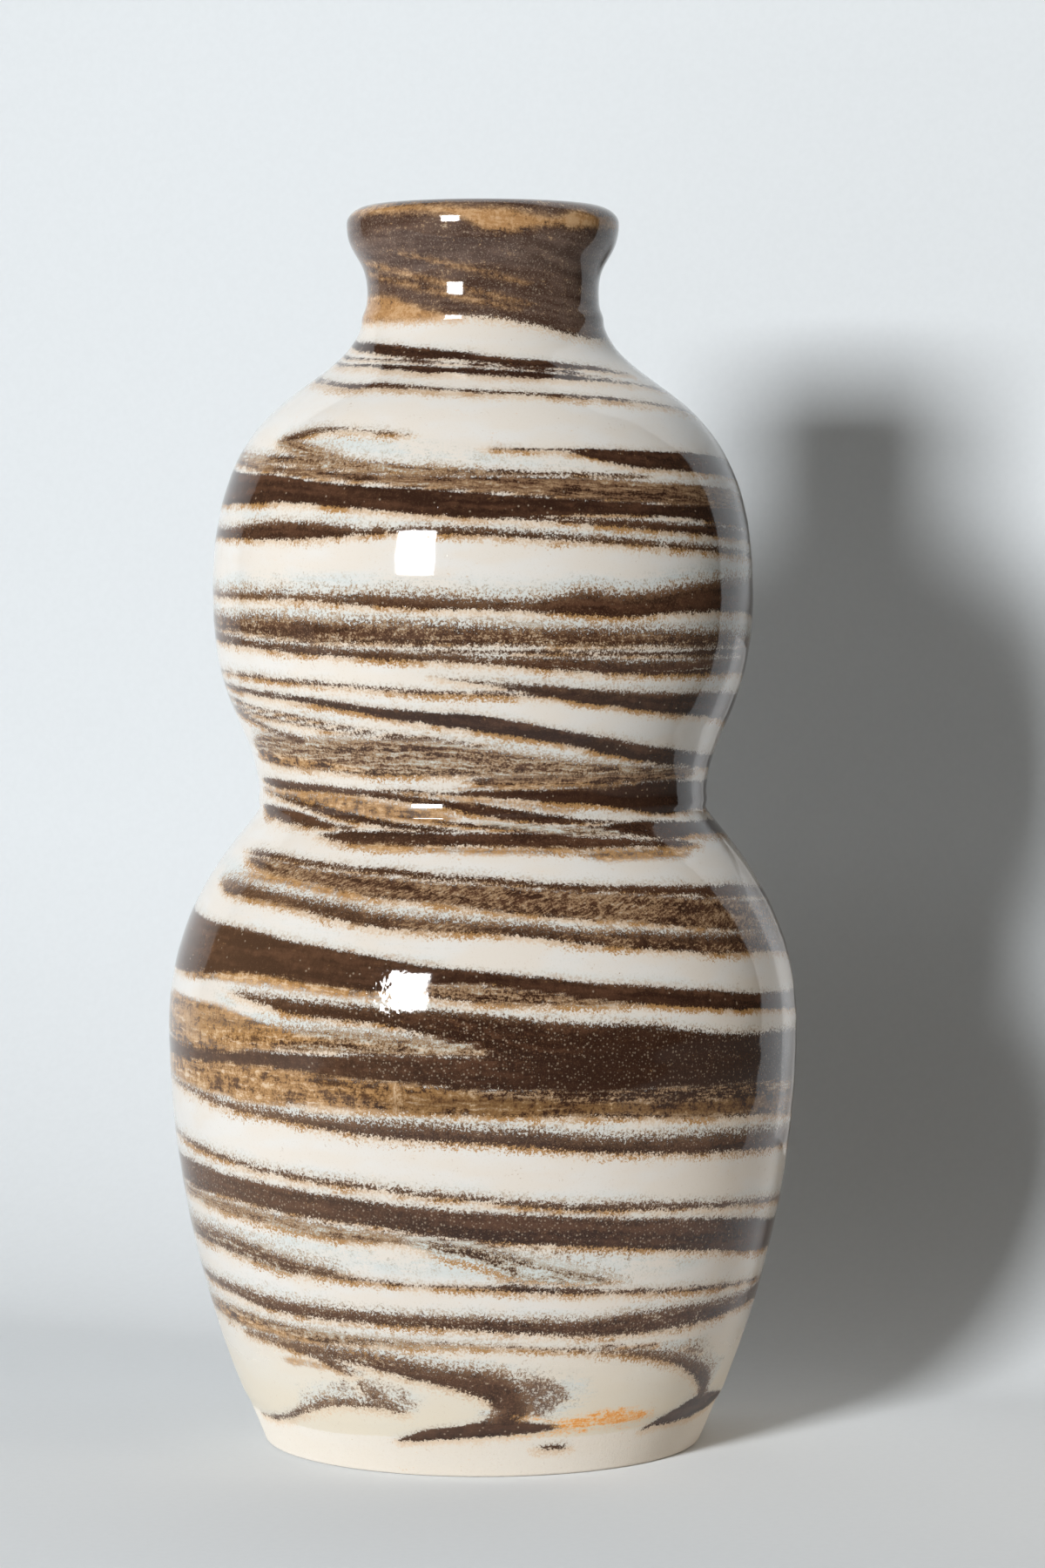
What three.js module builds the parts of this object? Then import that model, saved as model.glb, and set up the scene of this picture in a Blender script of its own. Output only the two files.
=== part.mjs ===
// A double-gourd vase thrown in marbled clay: two bulbs and a neck, luted together with slip, under a clear glaze.
// Millimetres, +Z up, the origin at the centre of the face that it stands on.
import * as THREE from "three";

// Facets: how many go round, and how far a profile's may stray from its curve on the outside and on the inside.
const turnSteps = 32;
const outerSag = 0.3;
const innerSag = 0.8;
const curveSamples = 48;

// Outer face of the clay, as stations where the wall stands upright, each set by its rise from the one under it.
// A hold is the share of that rise over which the curve keeps to the upright, so it makes the turn full or tight.
const footRadius = 44.2;
const footTaper = 21.4;
const footHold = 0.11;
const bellyHoldBelow = 0.52;
const bellyRadius = 63.4;
const bellyHeight = 84.9;
const bellyHoldAbove = 0.62;
const waistHoldBelow = 0.07;
const waistRadius = 44.8;
const waistRise = 44.2;
const waistHoldAbove = 0.39;
const shoulderHoldBelow = 0.59;
const shoulderRadius = 54.3;
const shoulderRise = 43;
const shoulderHoldAbove = 0.79;
const neckHoldBelow = 0.4;
const neckRadius = 23;
const neckRise = 60.5;
const neckHoldAbove = 0.53;
const lipHoldBelow = 0.48;
const lipRadius = 27.1;
const lipRise = 13.7;
const crestRadius = 22;
const crestRise = 3.3;

// Inside of the clay. The walls are level widths, and the floor is its top face.
const wallAtBelly = 5.6;
const wallAtWaist = 5;
const wallAtShoulder = 5;
const floorHeight = 7.6;
const floorRadius = 24;
const floorHold = 0.66;
const boreRadius = 18.4;
const boreFootDrop = 3.6;
const mouthRounding = 4.4;

// Trimmed foot ring: a softened outer edge, a flat to stand on, and a hollow turned out of the underside.
const footEdge = 0.7;
const footRingWidth = 6.2;
const hollowDepth = 2.6;
const hollowCove = 2.4;

// Luted joints, one at the waist and one a drop below the neck. One rim has a groove turned in it, the other a
// ridge, and slip fills the space between them.
const neckJointDrop = 6.6;
const slipThickness = 0.8;
const waistGrooveWidth = 2.6;
const waistGrooveDepth = 1.3;
const neckGrooveWidth = 2.2;
const neckGrooveDepth = 1.1;

// Clear glaze. The outside coat starts above the bare foot and runs over the lip, and the liner covers the inside.
const glazeThickness = 0.4;
const glazeLineHeight = 7.4;
const glazeEdgeRise = 1.2;
const lipCoatDepth = 9;

// Spacing kept between a cut height and the samples of a curve beside it.
const sampleClearance = 0.5;

// Heights of the stations and of the foot of the straight bore.
const waistHeight = bellyHeight + waistRise;
const shoulderHeight = waistHeight + shoulderRise;
const neckHeight = shoulderHeight + neckRise;
const lipHeight = neckHeight + lipRise;
const crestHeight = lipHeight + crestRise;
const boreFootHeight = neckHeight - boreFootDrop;

const point = (radius, height) => new THREE.Vector2(radius, height);

// The fewest points of a run that keep its facets within the sag: split where the run strays most from its chord.
function facetted(points, sag) {
  const first = points[0];
  const last = points[points.length - 1];
  const chord = last.clone().sub(first).normalize();
  const strays = points.map((p) => Math.abs(chord.cross(p.clone().sub(first))));
  const farthest = strays.indexOf(Math.max(...strays));
  if (strays[farthest] <= sag) return [first, last];
  return joinRuns(facetted(points.slice(0, farthest + 1), sag), facetted(points.slice(farthest), sag));
}

const facetCurve = (curve, sag) => facetted(curve.getPoints(curveSamples), sag);

// Curve between two upright stations, each {radius, height}, with the hold of the first above and the second below.
function riseBetween(from, to, holdAbove, holdBelow, sag) {
  const rise = to.height - from.height;
  const curve = new THREE.CubicBezierCurve(
    point(from.radius, from.height),
    point(from.radius, from.height + holdAbove * rise),
    point(to.radius, to.height - holdBelow * rise),
    point(to.radius, to.height),
  );
  return facetCurve(curve, sag);
}

// Quarter of an ellipse over the lip, starting at the first or the second quarter turn.
function overLip(rounding, drop, startQuarter) {
  const start = (startQuarter * Math.PI) / 2;
  const end = start + Math.PI / 2;
  return facetCurve(
    new THREE.EllipseCurve(crestRadius, crestHeight - drop, rounding, drop, start, end),
    outerSag,
  );
}

// One run of points from several, without the points that neighbouring runs share.
function joinRuns(...runs) {
  return runs.flatMap((run, i) => (i ? run.slice(1) : run));
}

// The point of a rising run of points at a height.
function pointAt(points, height) {
  const above = Math.max(1, points.findIndex((p) => p.y >= height));
  const [a, b] = [points[above - 1], points[above]];
  return point(THREE.MathUtils.mapLinear(height, a.y, b.y, a.x, b.x), height);
}

// A rising run of points with points added at the cut heights, and any sample that lies close to one left out.
function withCuts(points, heights) {
  const ends = [points[0], points[points.length - 1]];
  const kept = points.filter(
    (p) => ends.includes(p) || heights.every((h) => Math.abs(p.y - h) > sampleClearance),
  );
  return [...kept, ...heights.map((h) => pointAt(points, h))].sort((a, b) => a.y - b.y);
}

const between = (points, low, high) => points.filter((p) => p.y >= low && p.y <= high);

// The outer face of the clay, from the softened edge of the foot to the crest of the lip.
function outerFace(cuts) {
  const taper = THREE.MathUtils.degToRad(footTaper);
  const hold = footHold * bellyHeight;
  const flare = new THREE.CubicBezierCurve(
    point(footRadius, 0),
    point(footRadius + hold * Math.sin(taper), hold * Math.cos(taper)),
    point(bellyRadius, bellyHeight * (1 - bellyHoldBelow)),
    point(bellyRadius, bellyHeight),
  );
  const belly = { radius: bellyRadius, height: bellyHeight };
  const waist = { radius: waistRadius, height: waistHeight };
  const shoulder = { radius: shoulderRadius, height: shoulderHeight };
  const neck = { radius: neckRadius, height: neckHeight };
  const lip = { radius: lipRadius, height: lipHeight };
  const face = joinRuns(
    facetCurve(flare, outerSag),
    riseBetween(belly, waist, bellyHoldAbove, waistHoldBelow, outerSag),
    riseBetween(waist, shoulder, waistHoldAbove, shoulderHoldBelow, outerSag),
    riseBetween(shoulder, neck, shoulderHoldAbove, neckHoldBelow, outerSag),
    riseBetween(neck, lip, neckHoldAbove, lipHoldBelow, outerSag),
    overLip(lipRadius - crestRadius, crestRise, 0),
  );
  return withCuts(face, cuts).slice(1);
}

// The inner face of the clay, from the axis at the floor to the crest of the lip.
function innerFace(cuts) {
  const belly = { radius: bellyRadius - wallAtBelly, height: bellyHeight };
  const waist = { radius: waistRadius - wallAtWaist, height: waistHeight };
  const shoulder = { radius: shoulderRadius - wallAtShoulder, height: shoulderHeight };
  const boreFoot = { radius: boreRadius, height: boreFootHeight };
  const rise = belly.height - floorHeight;
  const cove = new THREE.CubicBezierCurve(
    point(floorRadius, floorHeight),
    point(floorRadius + floorHold * (belly.radius - floorRadius), floorHeight),
    point(belly.radius, belly.height - bellyHoldBelow * rise),
    point(belly.radius, belly.height),
  );
  const wall = joinRuns(
    facetCurve(cove, innerSag),
    riseBetween(belly, waist, bellyHoldAbove, waistHoldAbove, innerSag),
    riseBetween(waist, shoulder, waistHoldAbove, shoulderHoldBelow, innerSag),
    riseBetween(shoulder, boreFoot, shoulderHoldAbove, neckHoldBelow, innerSag),
  );
  const mouth = overLip(crestRadius - boreRadius, mouthRounding, 1).reverse();
  return [point(0, floorHeight), ...withCuts([...wall, ...mouth], cuts)];
}

// The underside, from the axis out to the softened edge of the foot, where the outer face starts.
function underside() {
  const standRadius = footRadius - footEdge;
  const ringInside = standRadius - footRingWidth;
  const cove = new THREE.EllipseCurve(
    ringInside - hollowCove,
    0,
    hollowCove,
    hollowDepth,
    0,
    Math.PI / 2,
  );
  return [point(0, hollowDepth), ...facetCurve(cove, outerSag).reverse(), point(standRadius, 0)];
}

// A groove's outline across a rim, from its outer edge to its inner one, at the middle of the wall.
function grooveAcross(outer, inner, width, depth) {
  const middle = (outer.x + inner.x) / 2;
  return [
    point(middle + width / 2, outer.y),
    point(middle, outer.y - depth),
    point(middle - width / 2, outer.y),
  ];
}

// The points of a run moved out of the clay by the glaze's thickness, square to the face at each of them.
function glazeOver(points) {
  const heading = (from, to) => to.clone().sub(from).normalize();
  const last = points.length - 1;
  return points.map((p, i) => {
    const incoming = heading(points[Math.max(i - 1, 0)], points[Math.max(i, 1)]);
    const outgoing = heading(points[Math.min(i, last - 1)], points[Math.min(i + 1, last)]);
    const along = incoming.clone().add(outgoing).normalize();
    const mitre = glazeThickness / along.dot(incoming);
    return point(p.x + along.y * mitre, p.y - along.x * mitre);
  });
}

function turned(name, profile, material) {
  const mesh = new THREE.Mesh(new THREE.LatheGeometry(profile, turnSteps), material);
  mesh.name = name;
  return mesh;
}

const closed = (profile) => [...profile, profile[0].clone()];

// Heights where a piece ends: the glaze line, its edge, both joints and the depth of the lip's coat.
const waistSlipTop = waistHeight + slipThickness;
const neckJointHeight = neckHeight - neckJointDrop;
const neckSlipTop = neckJointHeight + slipThickness;
const joints = [waistHeight, waistSlipTop, neckJointHeight, neckSlipTop];
const lipCoatFoot = crestHeight - lipCoatDepth;
const outer = outerFace([footEdge, glazeLineHeight, glazeLineHeight + glazeEdgeRise, ...joints]);
const inner = innerFace([...joints, lipCoatFoot]);

const waistGroove = grooveAcross(
  pointAt(outer, waistHeight),
  pointAt(inner, waistHeight),
  waistGrooveWidth,
  waistGrooveDepth,
);
const neckGroove = grooveAcross(
  pointAt(outer, neckJointHeight),
  pointAt(inner, neckJointHeight),
  neckGrooveWidth,
  neckGrooveDepth,
);
const raised = (points) => points.map((p) => point(p.x, p.y + slipThickness));

// Lower bulb: the floor, the foot ring and the wall up to the grooved rim at the waist.
function lowerBulb(material) {
  const profile = [
    ...underside(),
    ...between(outer, footEdge, waistHeight),
    ...waistGroove,
    ...between(inner, floorHeight, waistHeight).reverse(),
  ];
  return turned("lower_bulb", profile, material);
}

// Upper bulb: open at both ends, with a ridge under it at the waist and a groove on it at the neck.
function upperBulb(material) {
  const profile = [
    ...between(outer, waistSlipTop, neckJointHeight),
    ...neckGroove,
    ...between(inner, waistSlipTop, neckJointHeight).reverse(),
    ...raised(waistGroove).reverse(),
  ];
  return turned("upper_bulb", closed(profile), material);
}

// Neck: the waisted collar and the rolled lip, turned in one.
function neckAndLip(material) {
  const profile = [
    ...between(outer, neckSlipTop, crestHeight),
    ...between(inner, neckSlipTop, crestHeight).reverse().slice(1),
    ...raised(neckGroove).reverse(),
  ];
  return turned("neck_and_lip", closed(profile), material);
}

// A ring of slip in a joint, from the rim with the groove up to the rim with the ridge.
function slipRing(name, low, high, groove, material) {
  const profile = [
    ...between(outer, low, high),
    ...raised(groove),
    ...between(inner, low, high).reverse(),
    ...[...groove].reverse(),
  ];
  return turned(name, closed(profile), material);
}

// The faces that glaze covers, as one run: up the outside, over the lip and down to the middle of the floor.
const glazedRun = [
  ...between(outer, glazeLineHeight, crestHeight),
  ...between(inner, floorHeight, crestHeight).reverse().slice(1),
];
const glazedOver = glazeOver(glazedRun);
const lipCoatEnd = glazedRun.findIndex((p) => p.y === lipCoatFoot && p.x < crestRadius);

// Outside coat: thins to nothing at the glaze line and ends square to the wall inside the mouth.
function outsideGlaze(material) {
  const face = glazedOver.slice(1, lipCoatEnd + 1);
  const seat = glazedRun.slice(0, lipCoatEnd + 1).reverse();
  return turned("glaze_outside", closed([...face, ...seat]), material);
}

// Liner: the coat that makes the inside hold water, from the lip's coat down to the floor.
function insideGlaze(material) {
  const seat = glazedRun.slice(lipCoatEnd).reverse();
  const face = glazedOver.slice(lipCoatEnd);
  return turned("glaze_inside", [...seat, ...face], material);
}

const marbledClay = new THREE.MeshStandardMaterial({ color: 0xe6d6c3, roughness: 0.85, metalness: 0 });
const brownClay = new THREE.MeshStandardMaterial({ color: 0x6a4a38, roughness: 0.8, metalness: 0 });
const slip = new THREE.MeshStandardMaterial({ color: 0xd8c4ac, roughness: 0.9, metalness: 0 });
const clearGlaze = new THREE.MeshStandardMaterial({
  color: 0xf2ece2,
  roughness: 0.08,
  metalness: 0,
  transparent: true,
  opacity: 0.35,
});

// The pieces are turned about the Y axis and the whole is then stood up, so that Z is the vase's axis.
const vase = new THREE.Group();
vase.rotation.x = Math.PI / 2;
vase.add(
  lowerBulb(marbledClay),
  slipRing("waist_slip", waistHeight, waistSlipTop, waistGroove, slip),
  upperBulb(marbledClay),
  slipRing("neck_slip", neckJointHeight, neckSlipTop, neckGroove, slip),
  neckAndLip(brownClay),
  outsideGlaze(clearGlaze),
  insideGlaze(clearGlaze),
);

export default vase;
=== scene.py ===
import math

import bpy
import numpy as np
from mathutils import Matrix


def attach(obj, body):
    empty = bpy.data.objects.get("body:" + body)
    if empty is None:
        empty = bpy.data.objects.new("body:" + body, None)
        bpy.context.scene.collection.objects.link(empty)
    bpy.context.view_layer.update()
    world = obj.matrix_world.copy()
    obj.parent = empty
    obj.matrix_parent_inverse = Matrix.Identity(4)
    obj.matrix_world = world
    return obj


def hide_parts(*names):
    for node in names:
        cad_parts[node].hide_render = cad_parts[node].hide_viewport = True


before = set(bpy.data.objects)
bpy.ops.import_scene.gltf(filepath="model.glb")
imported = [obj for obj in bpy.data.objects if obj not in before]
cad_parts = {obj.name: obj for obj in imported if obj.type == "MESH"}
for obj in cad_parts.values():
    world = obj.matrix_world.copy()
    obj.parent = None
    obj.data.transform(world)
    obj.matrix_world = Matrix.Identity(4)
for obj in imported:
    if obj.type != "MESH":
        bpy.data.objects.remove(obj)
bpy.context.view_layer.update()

# A double-gourd vase thrown in marbled clay under a clear glaze. Sizes are in millimetres until a mesh is
# made, and angles in degrees about the vase's axis: 0 faces the photograph's camera and 90 is to its right.
METRE = 0.001

# The clay's profile, from the same dimensions as the solids: stations where the wall stands upright, and the
# share of each rise over which the curve keeps to the upright.
FOOT_RADIUS, FOOT_TAPER, FOOT_HOLD = 44.2, 21.4, 0.11
BELLY_RADIUS, BELLY_HEIGHT = 63.4, 84.9
WAIST_RADIUS, WAIST_HEIGHT = 44.8, 129.1
SHOULDER_RADIUS, SHOULDER_HEIGHT = 54.3, 172.1
NECK_RADIUS, NECK_HEIGHT = 23.0, 232.6
LIP_RADIUS, LIP_HEIGHT = 27.1, 246.3
CREST_RADIUS, CREST_HEIGHT = 22.0, 249.6
BELLY_HOLD_BELOW, BELLY_HOLD_ABOVE = 0.52, 0.62
WAIST_HOLD_BELOW, WAIST_HOLD_ABOVE = 0.07, 0.39
SHOULDER_HOLD_BELOW, SHOULDER_HOLD_ABOVE = 0.59, 0.79
NECK_HOLD_BELOW, NECK_HOLD_ABOVE = 0.4, 0.53
LIP_HOLD_BELOW = 0.48
WALL_AT_BELLY, WALL_AT_WAIST, WALL_AT_SHOULDER = 5.6, 5.0, 5.0
FLOOR_HEIGHT, FLOOR_RADIUS, FLOOR_HOLD = 7.6, 24.0, 0.66
BORE_RADIUS, BORE_FOOT_HEIGHT, MOUTH_ROUNDING = 18.4, 229.0, 4.4
FOOT_EDGE, FOOT_RING_WIDTH, HOLLOW_DEPTH, HOLLOW_COVE = 0.7, 6.2, 2.6, 2.4
NECK_JOINT_HEIGHT, SLIP_THICKNESS = 226.0, 0.8
WAIST_GROOVE, NECK_GROOVE = (2.6, 1.3), (2.2, 1.1)
GLAZE_THICKNESS, GLAZE_LINE_HEIGHT, GLAZE_EDGE_RISE, LIP_COAT_DEPTH = 0.4, 7.4, 4.0, 9.0

# Faint rings left by the thrower's rib as (spacing, start, depth), and low ridges at the waist and where the
# neck is joined on as (height, reach, depth).
THROWING_RINGS = ((7.6, 0.0, 0.022), (23.0, 1.3, 0.03))
RIDGES = ((130.4, 1.15, 0.3), (227.6, 1.5, 0.42))

# How the glaze's lower edge wanders: a lift, waves as (count round the foot, start, depth), and the rise
# above the glaze line over which they fade out.
EDGE_LIFT, EDGE_FADE = 0.55, 9.0
EDGE_WAVES = ((2, 0.6, 0.3), (5, 2.0, 0.2), (11, 0.0, 0.12))

# Fineness of the meshes: steps along a curve, segments round the axis, and rows of points up each part of a
# profile. A turn of one radian along a profile gets as many rows as TURN_WEIGHT millimetres do.
CURVE_STEPS, TURN_WEIGHT = 240, 12.0
GLAZE_SEGMENTS, FOOT_SEGMENTS, WALL_SEGMENTS = 160, 180, 128
GLAZE_ROWS, SEAT_ROWS, FLOOR_ROWS, LINING_ROWS, INSIDE_ROWS = 510, 110, 12, 200, 60
HOLLOW_ROWS, EDGE_ROWS, FOOT_ROWS, LOWER_ROWS = 10, 6, 40, 70
SEAM_ROWS, UPPER_ROWS, NECK_ROWS, BORE_ROWS = 2, 60, 60, 50

# The foot's wall is finer up to this height.
BARE_FOOT_TOP = 12.0

rng = np.random.default_rng(11)


def bezier(a, b, c, d):
    """Rows of points along a cubic curve."""
    t = np.linspace(0, 1, CURVE_STEPS)[:, None]
    a, b, c, d = (np.array(p, float) for p in (a, b, c, d))
    return (1 - t) ** 3 * a + 3 * (1 - t) ** 2 * t * b + 3 * (1 - t) * t**2 * c + t**3 * d


def rise_between(low, high, hold_above, hold_below):
    """Curve between two upright stations, each (radius, height)."""
    rise = high[1] - low[1]
    return bezier(low, (low[0], low[1] + hold_above * rise), (high[0], high[1] - hold_below * rise), high)


def quarter_ellipse(centre, across, up, start):
    """Quarter of an ellipse that starts at an angle and turns to the left."""
    t = np.radians(np.linspace(start, start + 90, CURVE_STEPS))
    return np.column_stack([centre[0] + across * np.cos(t), centre[1] + up * np.sin(t)])


def joined(*runs):
    """One run of points from several, without the points that neighbours share."""
    return np.concatenate([runs[0]] + [run[1:] for run in runs[1:]])


def clay_outside():
    """Outer face of the clay, from the foot up to the crest of the lip."""
    taper = math.radians(FOOT_TAPER)
    hold = FOOT_HOLD * BELLY_HEIGHT
    belly, waist = (BELLY_RADIUS, BELLY_HEIGHT), (WAIST_RADIUS, WAIST_HEIGHT)
    shoulder, neck = (SHOULDER_RADIUS, SHOULDER_HEIGHT), (NECK_RADIUS, NECK_HEIGHT)
    flare = bezier(
        (FOOT_RADIUS, 0),
        (FOOT_RADIUS + hold * math.sin(taper), hold * math.cos(taper)),
        (BELLY_RADIUS, BELLY_HEIGHT * (1 - BELLY_HOLD_BELOW)),
        belly,
    )
    crest = (CREST_RADIUS, LIP_HEIGHT), LIP_RADIUS - CREST_RADIUS, CREST_HEIGHT - LIP_HEIGHT
    return joined(
        flare,
        rise_between(belly, waist, BELLY_HOLD_ABOVE, WAIST_HOLD_BELOW),
        rise_between(waist, shoulder, WAIST_HOLD_ABOVE, SHOULDER_HOLD_BELOW),
        rise_between(shoulder, neck, SHOULDER_HOLD_ABOVE, NECK_HOLD_BELOW),
        rise_between(neck, (LIP_RADIUS, LIP_HEIGHT), NECK_HOLD_ABOVE, LIP_HOLD_BELOW),
        quarter_ellipse(*crest, 0),
    )


def clay_inside():
    """Inner face of the clay, from the floor up to the crest of the lip."""
    belly = (BELLY_RADIUS - WALL_AT_BELLY, BELLY_HEIGHT)
    waist = (WAIST_RADIUS - WALL_AT_WAIST, WAIST_HEIGHT)
    shoulder = (SHOULDER_RADIUS - WALL_AT_SHOULDER, SHOULDER_HEIGHT)
    bore = (BORE_RADIUS, BORE_FOOT_HEIGHT)
    cove = bezier(
        (FLOOR_RADIUS, FLOOR_HEIGHT),
        (FLOOR_RADIUS + FLOOR_HOLD * (belly[0] - FLOOR_RADIUS), FLOOR_HEIGHT),
        (belly[0], BELLY_HEIGHT - BELLY_HOLD_BELOW * (BELLY_HEIGHT - FLOOR_HEIGHT)),
        belly,
    )
    mouth_centre = (CREST_RADIUS, CREST_HEIGHT - MOUTH_ROUNDING)
    mouth = quarter_ellipse(mouth_centre, CREST_RADIUS - BORE_RADIUS, MOUTH_ROUNDING, 90)[::-1]
    return joined(
        cove,
        rise_between(belly, waist, BELLY_HOLD_ABOVE, WAIST_HOLD_ABOVE),
        rise_between(waist, shoulder, WAIST_HOLD_ABOVE, SHOULDER_HOLD_BELOW),
        rise_between(shoulder, bore, SHOULDER_HOLD_ABOVE, NECK_HOLD_BELOW),
        np.linspace(bore, mouth[0], CURVE_STEPS // 4),
        mouth,
    )


outside, inside = clay_outside(), clay_inside()


def radius_at(run, heights):
    """Radius of a rising run at the heights."""
    return np.interp(heights, run[:, 1], run[:, 0])


def lengths_along(points):
    """Distance of each point from the first, along the run."""
    return np.concatenate([[0], np.cumsum(np.hypot(*np.diff(points, axis=0).T))])


def resampled(points, measure, count):
    """The same run with its points evenly spaced by a measure that grows along it."""
    at = np.linspace(0, measure[-1], count)
    return np.column_stack([np.interp(at, measure, points[:, k]) for k in (0, 1)])


def spaced(points, count):
    """The same run with its points evenly spaced."""
    return resampled(points, lengths_along(points), count)


def eased(points, count):
    """The same run with its points set closer together where it turns."""
    heading = np.unwrap(np.arctan2(*np.diff(points, axis=0).T))
    turned = np.concatenate([[0], np.cumsum(np.abs(np.diff(heading)))])
    turned = np.append(turned, turned[-1])
    return resampled(points, lengths_along(points) + TURN_WEIGHT * turned, count)


def between(points, low, high):
    """The part of a rising run between two heights, ends included."""
    inner = points[(points[:, 1] > low) & (points[:, 1] < high)]
    ends = [(radius_at(points, z), z) for z in (low, high)]
    return np.concatenate([[ends[0]], inner, [ends[1]]])


def outward(points):
    """Unit normals to the right of a run's heading."""
    heading = np.gradient(points, lengths_along(points), axis=0)
    heading /= np.hypot(*heading.T)[:, None]
    return np.column_stack([heading[:, 1], -heading[:, 0]])


def linked_object(name, points, faces):
    """A smooth mesh of its own in the scene."""
    mesh = bpy.data.meshes.new(name)
    mesh.from_pydata(points, [], faces)
    mesh.polygons.foreach_set("use_smooth", [True] * len(mesh.polygons))
    made = bpy.data.objects.new(name, mesh)
    bpy.context.scene.collection.objects.link(made)
    return made


def turned_piece(name, profile, segments, closed, shift=None, swell=None):
    """A profile turned about the axis. A closed one joins its last row to its first, an open one starts and
    ends on the axis. Gives the object, the angles of its columns and the heights of its points, row by
    row."""
    angles = np.linspace(-180, 180, segments, endpoint=False)
    turn = np.radians(angles)
    core = profile if closed else profile[1:-1]
    radius, height = (np.repeat(core[:, [k]], segments, 1) for k in (0, 1))
    if shift:
        radius, height = shift(radius, height, angles)
    if swell:
        radius = radius + swell(angles, height)
    points = np.stack([radius * np.sin(turn), -radius * np.cos(turn), height], 2).reshape(-1, 3)

    rows = len(core)
    column = np.arange(segments)
    row = np.arange(rows if closed else rows - 1)[:, None]
    here, above = row * segments, (row + 1) % rows * segments
    beside = (column + 1) % segments
    corners = np.broadcast_arrays(here + column, here + beside, above + beside, above + column)
    faces = np.stack(corners, 2).reshape(-1, 4).tolist()

    along = lengths_along(np.concatenate([profile, profile[:1]]) if closed else profile)
    along = along / along[-1]
    row_places = along if closed else along[1:-1]
    low, high, left = np.broadcast_arrays(row_places[:-1, None], row_places[1:, None], column / segments)
    right = left + 1 / segments
    places = np.stack([left, low, right, low, right, high, left, high], 2).reshape(-1, 2)

    if not closed:
        first, last, last_row = len(points), len(points) + 1, (rows - 1) * segments
        points = np.concatenate([points, [(0, 0, profile[0, 1]), (0, 0, profile[-1, 1])]])
        faces += [[first, b, a] for a, b in zip(column.tolist(), beside.tolist())]
        faces += [[last, last_row + a, last_row + b] for a, b in zip(column.tolist(), beside.tolist())]
        for tip, rim in ((0.0, along[1]), (1.0, along[-2])):
            fan = [((j + s) / segments, v) for j in column for s, v in ((0.5, tip), (1, rim), (0, rim))]
            places = np.concatenate([places, fan])

    piece = linked_object(name, (points * METRE).tolist(), faces)
    unwrapped = piece.data.uv_layers.new(name="OFBake")
    unwrapped.data.foreach_set("uv", places.astype(np.float32).ravel())
    piece.data.validate()
    piece.data.update()
    return piece, angles, height


def crease(piece, segments):
    """Keeps the fold along a turned mesh's first row sharp."""
    ends = np.empty(2 * len(piece.data.edges), int)
    piece.data.edges.foreach_get("vertices", ends)
    piece.data.edges.foreach_set("use_edge_sharp", (ends.reshape(-1, 2) < segments).all(1))


# The marbling. A streak is a run of (angle, top, bottom) rows. Beyond its ends it runs on round the vase by
# left and right degrees, thinning out, and where these aren't said by a random length. Its kind says how far
# it breaks up into lines, how light it is, over how many mm its top fades, how far its lines slant, and how
# grainy it is.
TRAITS = ("broken", "tone", "fade", "hatched", "grainy")
SOLID = dict(broken=0.05, tone=0.1, fade=0.45, hatched=0.0, grainy=0.3)
SOFT = dict(broken=0.2, tone=0.2, fade=1.2, hatched=0.0, grainy=0.9)
LINE = dict(broken=0.3, tone=0.3, fade=0.5, hatched=0.0, grainy=0.8)
STREAKY = dict(broken=1.0, tone=0.45, fade=0.7, hatched=0.0, grainy=0.8)
HATCHED = dict(broken=0.9, tone=0.3, fade=0.6, hatched=1.0, grainy=0.8)
STIPPLED = dict(broken=0.6, tone=0.3, fade=1.2, hatched=0.0, grainy=1.7)
GRAINY = dict(broken=0.25, tone=0.2, fade=1.3, hatched=0.0, grainy=1.5)
BRUSHED = dict(broken=1.0, tone=0.65, fade=0.9, hatched=0.3, grainy=1.0)
NECK_CLAY = dict(broken=0.45, tone=0.1, fade=0.5, hatched=0.45, grainy=1.7)


def streak(rows, kind=SOLID, left=None, right=None, **changes):
    """One streak of a kind, with any traits of its own."""
    return {"rows": np.array(rows, float), "left": left, "right": right, **kind, **changes}


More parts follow.
